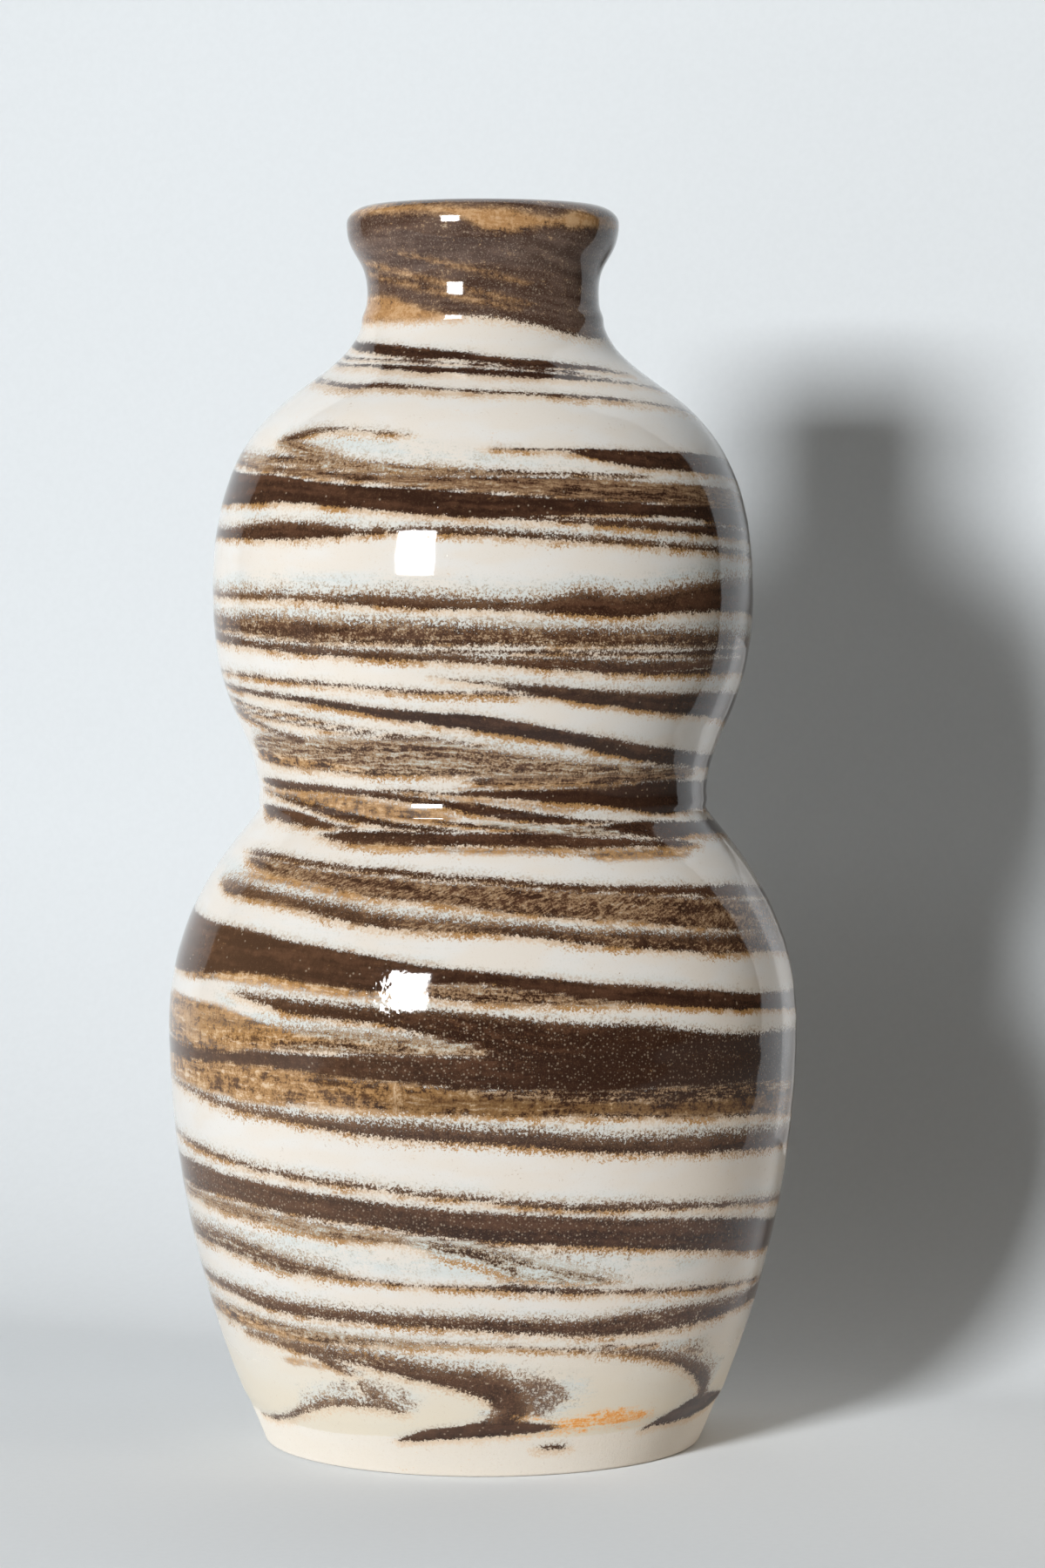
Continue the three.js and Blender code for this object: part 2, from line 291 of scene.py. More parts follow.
STREAKS = [
    # Shoulder.
    streak([(-62, 222, 220.4), (-48, 221.6, 219.5), (-30, 220.6, 218.5), (-10, 219.8, 218),
            (10, 218.4, 216.8), (38, 217.2, 216.2)], left=26, right=24, fade=0.5),
    streak([(-60, 219, 218.6), (-42, 218.5, 218.1), (-10, 217.5, 217.1), (20, 216.4, 215.8)], LINE, left=30,
           right=30, broken=0.02, grainy=0.1, fade=0.3),
    streak([(-60, 217.7, 217.2), (-42, 217.4, 216.7), (-30, 217, 216), (0, 216.2, 214.8), (20, 215.5, 214.2),
            (36, 214.8, 213.8), (52, 214, 213.5)], left=30, fade=0.35, grainy=0.2),
    streak([(-60, 214.2, 213.6), (-45, 213.5, 212.5), (-30, 213.4, 212.5), (-15, 212.6, 211.9),
            (0, 211.8, 211.2), (20, 211.3, 210.6), (40, 210.6, 210), (60, 209.5, 208.9)], LINE, fade=0.4,
           broken=0.05, grainy=0.35),
    # Hook on the upper bulb, the lines under it and the wedge to its right.
    streak([(-54, 203.2, 201.4), (-49, 204.2, 202.6), (-43, 204.7, 203.6), (-36, 204.6, 204),
            (-27, 203.9, 203.5)], LINE, left=2, right=9, grainy=1.3, broken=0.6, tone=0.4),
    streak([(-56, 203, 200.8), (-50, 202.4, 200), (-45, 201.6, 199.2), (-38, 200.2, 197.8)], STREAKY, left=2,
           right=9, tone=0.4, grainy=1.3),
    streak([(-62, 199.6, 198.2), (-45, 199.4, 197), (-32, 198.6, 196), (-18, 197.4, 195.4), (-4, 196.6, 195)],
           STREAKY, right=8, grainy=1.2),
    streak([(-62, 198, 196.6), (-40, 196.6, 194.9), (-20, 195.4, 193.4), (0, 195, 192.1), (20, 194.8, 190.8),
            (40, 194, 189.8), (58, 193.4, 189)], STREAKY, tone=0.2, fade=0.5),
    streak([(-14, 196.4, 195.8), (8, 196, 195.3), (30, 195.6, 194.9)], LINE, left=8, right=10),
    streak([(6, 200.4, 200.1), (20, 200.4, 199.6), (26, 200.4, 198.4), (32, 200.2, 197.2), (44, 200, 196.4),
            (56, 199.8, 196)], left=5, fade=0.3),
    streak([(-62, 195.8, 189.8), (-50, 195.3, 190), (-40, 194.2, 189.7), (-30, 193.4, 189),
            (-20, 192.9, 188.2), (-10, 192.4, 187.4), (0, 191.7, 186.9), (12, 191, 187), (20, 190.6, 187.5),
            (40, 189.8, 187.2), (57, 189.4, 186.2)], fade=0.35),
    streak([(4, 187.3, 186.7), (20, 187, 185.9), (40, 186.4, 184.5), (58, 185.7, 183.4)], LINE, left=8,
           fade=0.6),
    streak([(-66, 185.4, 183.2), (-55, 186.1, 182.8), (-45, 186.5, 182.8), (-35, 186, 183.1),
            (-28, 185.3, 183.6), (-20, 185.2, 184), (-8, 185.3, 183.9), (0, 185, 183.6), (10, 184.3, 182.9),
            (20, 183.8, 182.5), (40, 182.4, 181.3), (58, 181.5, 180.3)], SOFT, fade=0.8),
    # Lower half of the upper bulb.
    streak([(-67, 172.6, 171.3), (-50, 172.7, 171.2), (-38, 172.5, 171), (-30, 172.3, 170.4),
            (-18, 172.6, 169.9), (-8, 172, 169.4), (2, 171.6, 169.3), (12, 171.6, 168.9), (20, 173.2, 168.4),
            (30, 172.6, 167.8), (40, 173.2, 168.5), (50, 174.6, 168.6), (58, 175, 168.6)], SOFT, grainy=1.0),
    streak([(-67, 168, 164.6), (-50, 168.2, 163.8), (-40, 167.8, 163), (-20, 167.4, 162.7), (0, 166.6, 162.5),
            (20, 166, 162.3), (40, 165.4, 162), (58, 165, 161.7)], STIPPLED, broken=0.7),
    streak([(-62, 163.7, 161.8), (-45, 162.8, 160.9), (-30, 162, 160.2), (-18, 161.6, 159.8),
            (-8, 161, 159.4), (2, 160.6, 158.9), (12, 160.4, 158.1), (22, 160.1, 157.3), (40, 159.5, 156.6),
            (58, 159.7, 156.6)], SOFT, fade=0.9, broken=0.4),
    streak([(-6, 161.8, 161.2), (20, 161.6, 160.8), (40, 161.2, 160.2), (58, 161.5, 160)], LINE, left=12),
    streak([(-80, 156.8, 156.3), (-60, 156.3, 155.7), (-45, 155.6, 154.9), (-30, 155.1, 154.3),
            (-14, 154, 153.3), (2, 153.7, 153), (12, 153.4, 152.7)], LINE, right=8),
    streak([(-4, 156, 155.6), (4, 155.5, 154.4), (12, 155, 153), (20, 154.4, 151.7), (30, 153.6, 150.6),
            (44, 153, 149), (58, 152.8, 148)], left=6, fade=0.7),
    streak([(-80, 154.2, 153.5), (-60, 153.3, 152.1), (-42, 152.3, 151), (-30, 151.2, 149.7),
            (-20, 150.2, 148.1), (-10, 149.7, 147.1), (0, 149.1, 145.9), (10, 147.5, 144.6),
            (20, 145.9, 143.1), (30, 144.5, 141.4), (40, 142.9, 139.8), (50, 141.9, 138.5), (60, 141, 138)],
           fade=0.5, broken=0.08),
    # Fine lines and the brushed zone above the waist.
    streak([(-62, 150, 149.4), (-42, 147.9, 147.4), (-26, 146, 145.5), (-14, 144.8, 144.4)], LINE, right=14),
    streak([(-62, 148.6, 148), (-38, 146.3, 145.7), (-20, 144.8, 144.2)], LINE, right=12, tone=0.4),
    streak([(-64, 147, 146), (-56, 145.6, 144.2), (-48, 144.4, 142.2), (-40, 142.8, 140.8),
            (-30, 141.2, 139.2), (-20, 140.2, 138.7), (-8, 139.6, 138.4), (8, 139.2, 138.4)], SOFT, right=10,
           broken=0.5, tone=0.3, fade=0.7),
    streak([(-62, 144.6, 138), (-48, 144, 137.7), (-38, 144.2, 137.4), (-28, 144.4, 137.2),
            (-18, 144.6, 137.2), (-8, 143.8, 137.2), (4, 142.2, 137.1), (14, 140.9, 137), (26, 139.8, 136.8),
            (40, 138.9, 136.6), (56, 138.2, 136.4)], BRUSHED, broken=0.9, tone=0.5, hatched=0.0, left=12,
           right=12),
    streak([(6, 137.4, 134.8), (20, 137.6, 134.8), (40, 137.8, 135.2), (56, 137.6, 135.4)], STREAKY, left=10,
           right=12, tone=0.35),
    # Waist.
    streak([(-62, 135.4, 133.4), (-40, 134.6, 133.2), (-30, 134.2, 132.8), (-20, 133.6, 132),
            (-10, 132.6, 131), (0, 131.8, 129.4), (8, 130.6, 128.4), (16, 129.5, 127.8), (24, 128.7, 127.6),
            (34, 128.1, 127.6), (46, 127.6, 127.2)], SOFT, left=14, right=12, fade=0.5, grainy=0.7),
    streak([(-18, 134.3, 133.7), (-8, 134.1, 133.3), (0, 134.5, 132.9), (10, 134.6, 132.4),
            (20, 134.8, 131.8), (30, 135, 131.2), (40, 135.2, 130), (50, 135.6, 128.8), (64, 135, 129)],
           left=8, grainy=0.5),
    streak([(-62, 132.2, 131.5), (-50, 131.6, 129.9), (-40, 130.4, 128.4), (-30, 129.2, 127.6),
            (-20, 128, 126.6), (-10, 127.2, 126.2)], SOFT, left=14, right=6, fade=0.4),
    streak([(-24, 129.9, 129.4), (-14, 128.9, 128.2), (-4, 127.9, 127.4), (6, 127.3, 126.8),
            (18, 126.6, 126.1)], LINE, left=5, right=8, fade=0.3),
    streak([(-66, 129.9, 127.7), (-58, 129.7, 127), (-50, 129, 126.6), (-44, 128, 126.3),
            (-38, 127.2, 126.5)], SOFT, left=10, right=5, fade=0.4),
    streak([(8, 127.8, 126.8), (20, 127.4, 125.6), (32, 127, 125.4)], STREAKY, left=8, right=6, tone=0.8),
    streak([(-40, 125.5, 124.7), (-35, 126, 124), (-28, 126.3, 123.6), (-18, 126.4, 123.5),
            (-8, 126.3, 123.6), (2, 126.2, 123.7), (10, 126.3, 123.4), (18, 125.9, 123), (26, 125.3, 122.8),
            (34, 124.9, 123), (48, 124, 122.6)], SOFT, left=3, right=10, fade=0.4, broken=0.3),
    streak([(29, 127.2, 126.6), (36, 127.8, 125.4), (44, 127.8, 124.4), (52, 127.5, 124.2), (60, 127, 124.6)],
           left=5, fade=0.5, grainy=0.7),
    # Hatched bands at the top of the lower bulb.
    streak([(-58, 121.5, 120.2), (-50, 121.1, 120.1), (-40, 120.3, 119.3), (-30, 119.9, 118.8),
            (-20, 119.5, 118.4), (-10, 118.6, 117.6), (0, 118.1, 117.1), (10, 117.2, 116.2),
            (20, 116.4, 115.4), (30, 116, 114.8), (40, 115.6, 114), (57, 115, 112.6)], LINE, left=8,
           hatched=0.7, grainy=1.0),
    streak([(-58, 120, 118.6), (-50, 119.8, 117.1), (-40, 119, 116.3), (-30, 118.4, 114.9), (-20, 118, 113.9),
            (-10, 117.2, 113.3), (0, 116.8, 112), (10, 116, 111), (20, 115.2, 109.9), (30, 114.6, 109.2),
            (40, 113.8, 107.9), (57, 112.4, 106)], HATCHED, left=6),
    streak([(-62, 115.7, 112.9), (-50, 114.8, 112.3), (-40, 113.9, 111.4), (-30, 112.9, 109.8),
            (-20, 111.4, 108.5), (-10, 110.6, 108.1), (0, 110.1, 107.8), (10, 109.5, 106.8),
            (20, 108.3, 105.3), (30, 107.7, 104.3), (45, 106.5, 102.6), (60, 105.9, 101.6)], HATCHED, left=8,
           fade=1.3, broken=0.7, tone=0.15),
    # Belly.
    streak([(-64, 107.6, 97), (-50, 106.7, 98), (-40, 105.6, 98.1), (-30, 104.5, 97.1), (-20, 103.2, 96.4),
            (-14, 102.2, 97.2), (0, 100.8, 98.4), (10, 99.6, 96.8), (20, 98.2, 95), (30, 97.2, 93.8),
            (40, 96.2, 92.7), (50, 94.8, 91.4), (60, 93.8, 90.6)], fade=0.6),
    streak([(-12, 98.6, 96), (0, 98.2, 94.6), (12, 97, 94.2), (20, 95.6, 94)], STREAKY, left=6, right=8,
           grainy=1.4),
    streak([(-43, 94.6, 93), (-35, 94.5, 91.6), (-25, 94, 91), (-18, 93.6, 90.4), (-8, 93.4, 88.2),
            (0, 92.7, 85.4), (8, 91.8, 79), (16, 91, 77.5), (30, 89.9, 77.2), (40, 88.2, 77),
            (50, 86.8, 76.5), (62, 86, 76)], SOFT, broken=0.06, fade=0.8, tone=0.05, left=8),
    streak([(-63, 83.4, 79), (-50, 84, 79.8), (-40, 84, 80.2), (-30, 84.2, 79.8), (-20, 84.6, 79.4),
            (-10, 84.6, 79), (0, 84.6, 78.4), (8, 84.6, 77.6)], SOFT, broken=0.05, tone=0.0, fade=0.5,
           right=3, grainy=0.7),
    streak([(-50, 87.6, 84.6), (-40, 88.6, 84.4), (-28, 89.2, 84.6), (-15, 88.6, 84.8), (-4, 87.8, 84.8),
            (4, 86.8, 84.8)], STIPPLED, tone=0.6, broken=1.0, left=10, right=8),
    streak([(-60, 79.8, 75.2), (-50, 80.6, 74.5), (-40, 80.8, 74.2), (-30, 80.2, 74.1), (-14, 79.2, 73.9)],
           BRUSHED, hatched=0.0, left=24, right=6),
    streak([(-14, 79.2, 73.9), (0, 78.8, 73.4), (10, 78.8, 73), (25, 78.2, 72.2), (40, 77.8, 71),
            (60, 77, 69.4)], STREAKY, tone=0.35, broken=0.8, left=6, grainy=1.2),
    streak([(-18, 77.6, 76.8), (0, 77.6, 75.6), (12, 77.2, 75.4), (26, 76.4, 75.4)], STREAKY, left=10,
           right=10, tone=0.2, grainy=1.2),
    streak([(-67, 74.6, 73.6), (-50, 73.2, 71.7), (-40, 72.7, 71), (-30, 72.2, 70), (-20, 71.8, 68.8),
            (-10, 71.6, 68.3), (0, 70.8, 67.9), (10, 70.2, 67), (20, 68.9, 65.6), (30, 68.3, 64.9),
            (40, 67.9, 64), (50, 67.5, 63.3), (62, 66.7, 62.4)], SOFT, grainy=1.7, broken=0.35),
    streak([(-72, 63.9, 63.1), (-60, 62.9, 62), (-50, 61.9, 60.8), (-40, 60.9, 59.7), (-30, 60.1, 59),
            (-20, 59.4, 58.4), (-10, 58.5, 57.4), (0, 57.6, 56.4), (10, 56.5, 55.2), (20, 55.7, 54.3),
            (30, 55.3, 53.9), (40, 54.5, 53.1), (50, 53.6, 52.3), (58, 52.8, 51.8)], LINE, fade=0.7,
           grainy=1.3),
    streak([(-69, 59.5, 54.1), (-50, 58.3, 53.5), (-40, 57.7, 52.5), (-30, 56.9, 51.8), (-20, 56.1, 51.1),
            (-10, 55.3, 49.7), (0, 54.5, 48.7), (10, 53.8, 47.9), (20, 52.9, 47.1), (30, 52.1, 46.1),
            (40, 51.3, 44.8), (50, 50.4, 43.6), (62, 48.8, 41.8)], SOFT, fade=0.6, broken=0.1, grainy=1.1),
    streak([(-64, 53.4, 51), (-45, 52.2, 49.8), (-28, 50.8, 48.2), (-16, 49.8, 48)], BRUSHED, right=4,
           tone=0.5, hatched=0.0, grainy=1.3),
    streak([(-12, 49.4, 47), (-6, 49, 45.4), (0, 48, 44), (5, 46.6, 41.6), (12, 44.6, 40.4), (18, 42.6, 40)],
           STIPPLED, tone=0.85, broken=1.0, left=3, right=8),
    streak([(-74, 47.3, 43.3), (-60, 46.6, 42.7), (-50, 45.6, 41.5), (-40, 43.9, 40.3), (-32, 42.6, 40.3)],
           STIPPLED, right=5, tone=0.5, broken=0.75),
    streak([(-38, 41.3, 40.7), (-20, 40.3, 39.8), (0, 39.7, 39.1), (6, 40, 38.7), (14, 39.3, 38),
            (25, 38.3, 37.4), (50, 36.5, 35.8), (76, 34.9, 34.3)], LINE, left=3, grainy=0.9),
    # Soft zone under the glossy part.
    streak([(-72, 36.4, 34.6), (-60, 35.7, 33.5), (-50, 34.9, 32.2), (-40, 34.5, 31.6), (-20, 34, 31.5),
            (0, 33.5, 30.7), (10, 32.9, 29.8), (20, 32.5, 29), (30, 33, 28.7), (40, 33.1, 28.7),
            (50, 33.2, 29), (60, 33.2, 29.5), (72, 33.4, 30)], STIPPLED, fade=0.8, broken=0.5),
    streak([(-76, 31.4, 27.6), (-60, 30.8, 27.1), (-48, 29.8, 26.9), (-34, 29.2, 26.6), (-20, 28.6, 27),
            (-4, 28, 27.4)], STREAKY, right=10, tone=0.6, grainy=1.4),
]

# Lower edge of the dark neck as (angle, height), the same at both ends.
NECK_EDGE = [(-180, 225.6), (-120, 226.6), (-60, 226.4), (-30, 226.5), (0, 226.6), (20, 225.4), (30, 224.5),
             (40, 223.6), (60, 222.8), (90, 223.4), (130, 224.8), (180, 225.6)]

# Stains that lie over cream and brown alike: amber where the two clays have run together.
AMBERS = [
    streak([(-72, 249.6, 247.4), (-45, 249.2, 247), (-20, 248.8, 246.8), (-8, 248.4, 245.6),
            (0, 248.2, 243.6), (12, 248, 243.2), (20, 247, 243.8), (32, 246.6, 244.6), (42, 247.8, 244.2),
            (55, 247.4, 244.6)], left=40, right=40),
    streak([(-74, 231.6, 226), (-50, 231.2, 226), (-38, 229.8, 226), (-24, 228, 226), (-12, 226.9, 226)],
           left=60, right=3),
    streak([(-56, 237.4, 236.4), (-40, 236, 235), (-22, 234.2, 233.2), (-4, 232.2, 231.4),
            (10, 230.8, 230.2)], left=20, right=14),
    streak([(-56, 235, 234.2), (-36, 233.4, 232.6), (-16, 231.4, 230.6), (4, 229.6, 229)], left=20, right=14),
    streak([(-34, 239, 238.5), (-8, 236.6, 236), (14, 234.4, 233.9)], left=8, right=10),
    streak([(-62, 133.2, 131.8), (-48, 133, 130.6), (-36, 132.8, 129.4), (-24, 131.8, 128.4),
            (-14, 130.8, 128)], left=12, right=8),
    streak([(-18, 133.8, 132.9), (0, 132.9, 131.9), (14, 131.6, 130.6)], left=4, right=12),
    streak([(0, 135.2, 134.4), (30, 135.6, 134.6)], left=8, right=12),
    streak([(-20, 123.8, 122.6), (10, 123.4, 122.2), (34, 123, 122)], left=10, right=10),
    streak([(28, 122.8, 120.6), (46, 122.6, 120.4)], left=6, right=8),
    streak([(-64, 140.4, 138.2), (-50, 139.8, 138), (-38, 139, 138)], left=14, right=8),
    streak([(-56, 117.4, 115.9), (-44, 116.8, 115.4), (-30, 115.2, 113.8)], left=6, right=8),
    streak([(-62, 97.8, 96.2), (-45, 98.6, 97), (-30, 97.4, 95.8), (-20, 96.8, 95.4)], left=10, right=6),
    streak([(-66, 92.4, 82.6), (-52, 91.6, 83), (-42, 89.6, 84.2), (-32, 87.6, 86.4), (-20, 86.2, 86.4),
            (-6, 85.6, 86)], left=30, right=6),
    streak([(-56, 97.4, 96.6), (-40, 97, 96.2), (-22, 95.8, 95.2), (-4, 94.9, 94.5)], left=10, right=6),
    streak([(-64, 80.2, 75), (-50, 81, 74.4), (-40, 81.2, 74), (-26, 80.2, 73.9), (-10, 79, 73.6),
            (5, 76.8, 73.2), (20, 75.6, 73.2), (40, 74.4, 71.6), (60, 73.4, 70.4)], left=40, right=60),
    streak([(-45, 22.6, 21), (-38, 22.4, 21)], left=3, right=3),
    streak([(-70, 29.6, 28.4), (-56, 28.8, 27.2), (-40, 27.2, 26.2), (-24, 25.6, 24.8)], left=8, right=6),
]

# Bluish milky veils in the cream.
HAZES = [
    streak([(-46, 203.6, 201), (-34, 203.4, 199.6), (-20, 202.6, 198), (-5, 200.6, 197), (8, 199, 196.8),
            (20, 198, 196)], left=3, right=10),
    streak([(-60, 188.6, 186.4), (-20, 187.6, 185.2), (0, 186.8, 184.8), (30, 185.4, 182.6),
            (58, 183.6, 181.6)], left=20, right=20),
    streak([(-66, 176, 172), (-20, 176, 172), (0, 174.6, 171.6), (30, 175.6, 172), (50, 178, 174)], left=20,
           right=20),
    streak([(-66, 170.6, 167.4), (-20, 169.4, 166), (10, 168.6, 165), (40, 168, 164.6)], left=20, right=20),
    streak([(-10, 162.4, 161.6), (58, 162, 161)], left=20, right=20),
    streak([(-70, 151, 147), (-46, 149.4, 146), (-20, 147, 143.6), (10, 144.4, 141.6), (26, 142, 140.4)],
           left=20, right=12),
    streak([(-40, 138.4, 136.2), (20, 138, 135.6), (50, 137.6, 135.6)], left=20, right=20),
    streak([(-60, 118.4, 115), (-30, 114.6, 112.4), (0, 112, 109.8), (30, 109.4, 107.4), (55, 106.6, 105.4)],
           left=20, right=20),
    streak([(-50, 94.8, 91), (-38, 92.4, 86), (-25, 91, 84.6), (-12, 88, 84.4), (0, 85.6, 84)], left=10,
           right=5),
    streak([(-60, 74.8, 73.4), (-48, 74.8, 72.8), (-34, 74.4, 72), (-10, 73.6, 71), (20, 71.8, 68.6),
            (50, 69.6, 67)], left=20, right=20),
    streak([(-30, 49.4, 42.6), (-14, 47.6, 41.6), (0, 46.6, 41), (20, 46, 40.6), (36, 44.6, 40.4)], left=14,
           right=12),
    streak([(-32, 20, 15.6), (-24, 20, 15), (-16, 18.4, 14.4)], left=4, right=3),
    streak([(8, 23, 12), (14, 22.6, 12), (20, 21.6, 13)], left=3, right=5),
]

# Where the brown thins out into loose grains.
SMOKES = [
    streak([(-66, 91, 89.4), (-54, 89.8, 88), (-46, 88.6, 87.2)], left=20, right=8),
    streak([(-62, 86.6, 85.4), (-50, 86.2, 85)], left=20, right=8),
    streak([(-10, 88.8, 84), (4, 88, 83), (12, 87, 83)], left=8, right=4),
    streak([(-2, 48.8, 47), (10, 48.4, 46), (20, 47.2, 45.6)], left=6, right=10),
    streak([(-60, 29, 26.4), (-44, 27.4, 25), (-30, 26, 24)], left=12, right=8),
    streak([(2, 22.4, 13), (8, 22.4, 11.2), (13, 22, 12), (16, 20, 13)], left=2, right=3),
    streak([(-31, 19, 16.6), (-24, 19.6, 15), (-18, 18, 14.4)], left=3, right=3),
]

# Where pale specks lie thick in the brown.
SPECKLED = [
    streak([(-10, 93, 76), (10, 92, 76), (30, 90, 76), (56, 88, 76)], left=14, right=40),
    streak([(-50, 60, 52), (-4, 57, 49), (30, 54, 46)], left=30, right=20),
    streak([(-20, 34, 31), (20, 33, 29)], left=20, right=20),
]

# Where the brown and the amber are at their darkest.
DEEPENED = [
    streak([(-6, 78, 73), (8, 82, 71.5), (24, 90, 70), (40, 90, 69), (62, 88, 68)], left=10, right=40),
    streak([(20, 134, 132.4), (36, 136, 129.5), (62, 137, 127)], left=10, right=30),
]

# Where the glaze is rippled with bubbles.
RIPPLED = [
    streak([(-34, 101, 89), (-26, 103, 87), (-18, 102, 89)], left=8, right=6),
]

# Orange where iron has bled from the clay at the foot.
RUST = [
    streak([(18, 12.2, 10), (26, 13.3, 9.8), (36, 13.2, 9.6), (42, 11.8, 10.2)], left=3, right=3),
    streak([(8, 13.4, 12.2), (12, 12.8, 11.8)], left=3, right=3),
    streak([(10, 8.8, 8.2), (24, 9.4, 8.6), (38, 9.2, 8.6)], left=4, right=6),
]

# Swirls at the foot: a kind and a run of (angle, height, half width).
SWIRLS = [
    (STIPPLED, [(-60, 26.2, 0.5), (-50, 25.8, 0.9), (-38, 25.2, 1.3), (-28, 24.5, 1.6), (-20, 23.4, 1.9),
                (-13, 22.2, 1.8)]),
    (GRAINY, [(-28, 24, 0.4), (-20, 23, 1.4), (-12, 21.8, 1.9), (-5, 20.8, 2.2), (1, 19.6, 2.8),
              (5, 17.8, 3.1), (6.5, 15.5, 2.9), (6, 13.4, 2.6), (3, 11.6, 1.8)]),
    (SOLID, [(-20, 7.4, 0.2), (-16, 8.3, 0.8), (-11, 9.1, 1.3), (-5, 9.6, 1.4), (0, 10.2, 1.8),
             (6, 10.7, 1.8), (12, 10.5, 1.0), (17, 10.5, 0.5), (20, 10.4, 0.15)]),
    (SOFT, [(-50, 25.2, 0.4), (-42, 24.6, 0.7), (-36, 23.4, 0.9), (-31, 21.7, 0.8), (-28, 20.4, 0.4)]),
    (STIPPLED, [(-27, 18.6, 0.7), (-25, 16.6, 1.1), (-21, 14.8, 1.0), (-18, 13.6, 0.6)]),
    (STIPPLED, [(-24, 14.8, 0.8), (-34, 14.4, 0.9), (-41, 13, 0.9), (-46, 11.4, 0.7)]),
    (LINE, [(-46, 11.6, 0.6), (-51, 9.9, 0.7), (-56, 8.7, 0.6), (-62, 7.9, 0.4), (-70, 7.4, 0.15)]),
    (LINE, [(-10, 28.2, 0.15), (10, 27.1, 0.25), (22, 26.2, 0.35)]),
    (GRAINY, [(18, 26.5, 0.2), (30, 25.1, 0.5), (38, 23.9, 0.8), (44, 22.6, 1.0), (50, 20.8, 1.4),
              (56, 18.4, 1.8), (60, 16, 1.9), (61, 13.6, 1.9), (62, 11.6, 1.8)]),
    (LINE, [(25, 26.7, 0.15), (38, 26, 0.25)]),
    (SOLID, [(41, 7.7, 0.15), (46, 9, 0.9), (51, 9.6, 1.6), (57, 10.3, 2.2), (64, 10.6, 2.2), (72, 10.4, 1.5),
             (80, 10, 0.6)]),
    (LINE, [(13, 6.1, 0.15), (17, 6.1, 0.4), (21, 5.9, 0.15)]),
    (STIPPLED, [(48, 24.2, 0.2), (51, 23.4, 0.6), (54, 22.4, 0.3)]),
]

# The swirls stand here and once more at the back, moved round by this angle.
SWIRL_TURNS = (0, 158)
MM_PER_DEGREE_AT_FOOT = 0.85

# How the streaks lie. Where nothing else is said they drop by SPIRAL_DROP mm in each degree to the right. Off
# its ends a streak turns to that within about SETTLING degrees, with a drop that is its own by a factor in
# WANDER, and runs on by a number of degrees in RUN_ON. Its thickness swells and shrinks there by SWELL, as
# (depth, degrees to a radian, degrees until full, radians at the start for a wander of 1), and past its run
# it thins by THINNING mm a degree.
SPIRAL_DROP = 0.078
SETTLING = 20.0
RUN_ON, WANDER = (70, 170), (0.7, 1.3)
SWELL, THINNING = (0.35, 23.0, 30.0, 7.0), 0.4

# Streaks behind: heights between which they lie, angles at which they start and end, how thick they are, how
# often each thickness comes and by what factor it varies, the space between them, the thickness of their ends
# as a share, and how far they run on.
BEHIND_HEIGHTS, BEHIND_STARTS, BEHIND_ENDS = (30.0, 222.0), (96, 140), (215, 262)
BEHIND_THICKNESSES, BEHIND_SHARES, BEHIND_VARIES = (0.8, 1.6, 3.2, 5.5), (0.3, 0.3, 0.25, 0.15), (0.8, 1.2)
BEHIND_SPACES, BEHIND_TAPERS, BEHIND_RUN = (1.5, 7), (0.4, 0.5), 12

# What is stored on a mesh: distances up to FIELD_REACH mm, of streaks no further off than OUT_OF_REACH. The
# lower half of a streak blends into the upper one over UPPER_SOFTNESS mm. Each streak's lines differ by its
# number, with numbers of their own for the swirls and the neck. Slanting lines fade out over the FRONT_FADE
# degrees before FRONT_END. Swirls lie under SWIRLS_BELOW mm, as SWIRL_DISCS discs for each of their points.
FAR, OUT_OF_REACH, FIELD_REACH = 1e3, -8, 9.0
UPPER_SOFTNESS = 0.8
LAYER_GAP, SWIRL_LAYERS, NECK_LAYER = 37.0, 200, 400
FRONT_END, FRONT_FADE = 172, 20
SWIRLS_BELOW, SWIRL_DISCS = 48, 14


def through(x, xs, ys):
    """Smooth curve through points."""
    slopes = np.gradient(ys, xs)
    i = np.clip(np.searchsorted(xs, x) - 1, 0, len(xs) - 2)
    step = xs[i + 1] - xs[i]
    t = np.clip((x - xs[i]) / step, 0, 1)
    rising = t * t * (3 - 2 * t)
    low = ys[i] * (1 - rising) + ys[i + 1] * rising
    return low + step * (t * (1 - t) ** 2 * slopes[i] - t * t * (1 - t) * slopes[i + 1])


def middle_and_half(s, angles):
    """A streak's middle height and half thickness at the angles. Off its ends the half thickness is
    negative."""
    xs, tops, bottoms = s["rows"].T
    inner = np.clip(angles, xs[0], xs[-1])
    top, bottom = through(inner, xs, tops), through(inner, xs, bottoms)
    middle, half = (top + bottom) / 2, (top - bottom) / 2
    slopes = np.gradient((tops + bottoms) / 2, xs)
    depth, turn, full, start = SWELL
    for off, run, sign, end in ((xs[0] - angles, s["left"], -1, 0), (angles - xs[-1], s["right"], 1, -1)):
        off = np.maximum(off, 0)
        drop = SPIRAL_DROP * s["wander"] * sign
        middle = middle - drop * off + (slopes[end] * sign + drop) * SETTLING * (1 - np.exp(-off / SETTLING))
        share = np.clip(off / run, 0, 1)
        swell = 1 + depth * np.sin(off / turn + start * s["wander"]) * np.clip(off / full, 0, 1)
        half = half * (1 - share**2) * swell - THINNING * np.maximum(off - run, 0)
    return middle, half


def settled(streaks):
    """Streaks with their run-on lengths and their wander drawn."""
    for s in streaks:
        left, right = rng.uniform(*RUN_ON, 2)
        s["wander"] = rng.uniform(*WANDER)
        s["left"] = left if s["left"] is None else s["left"]
        s["right"] = right if s["right"] is None else s["right"]
    return streaks


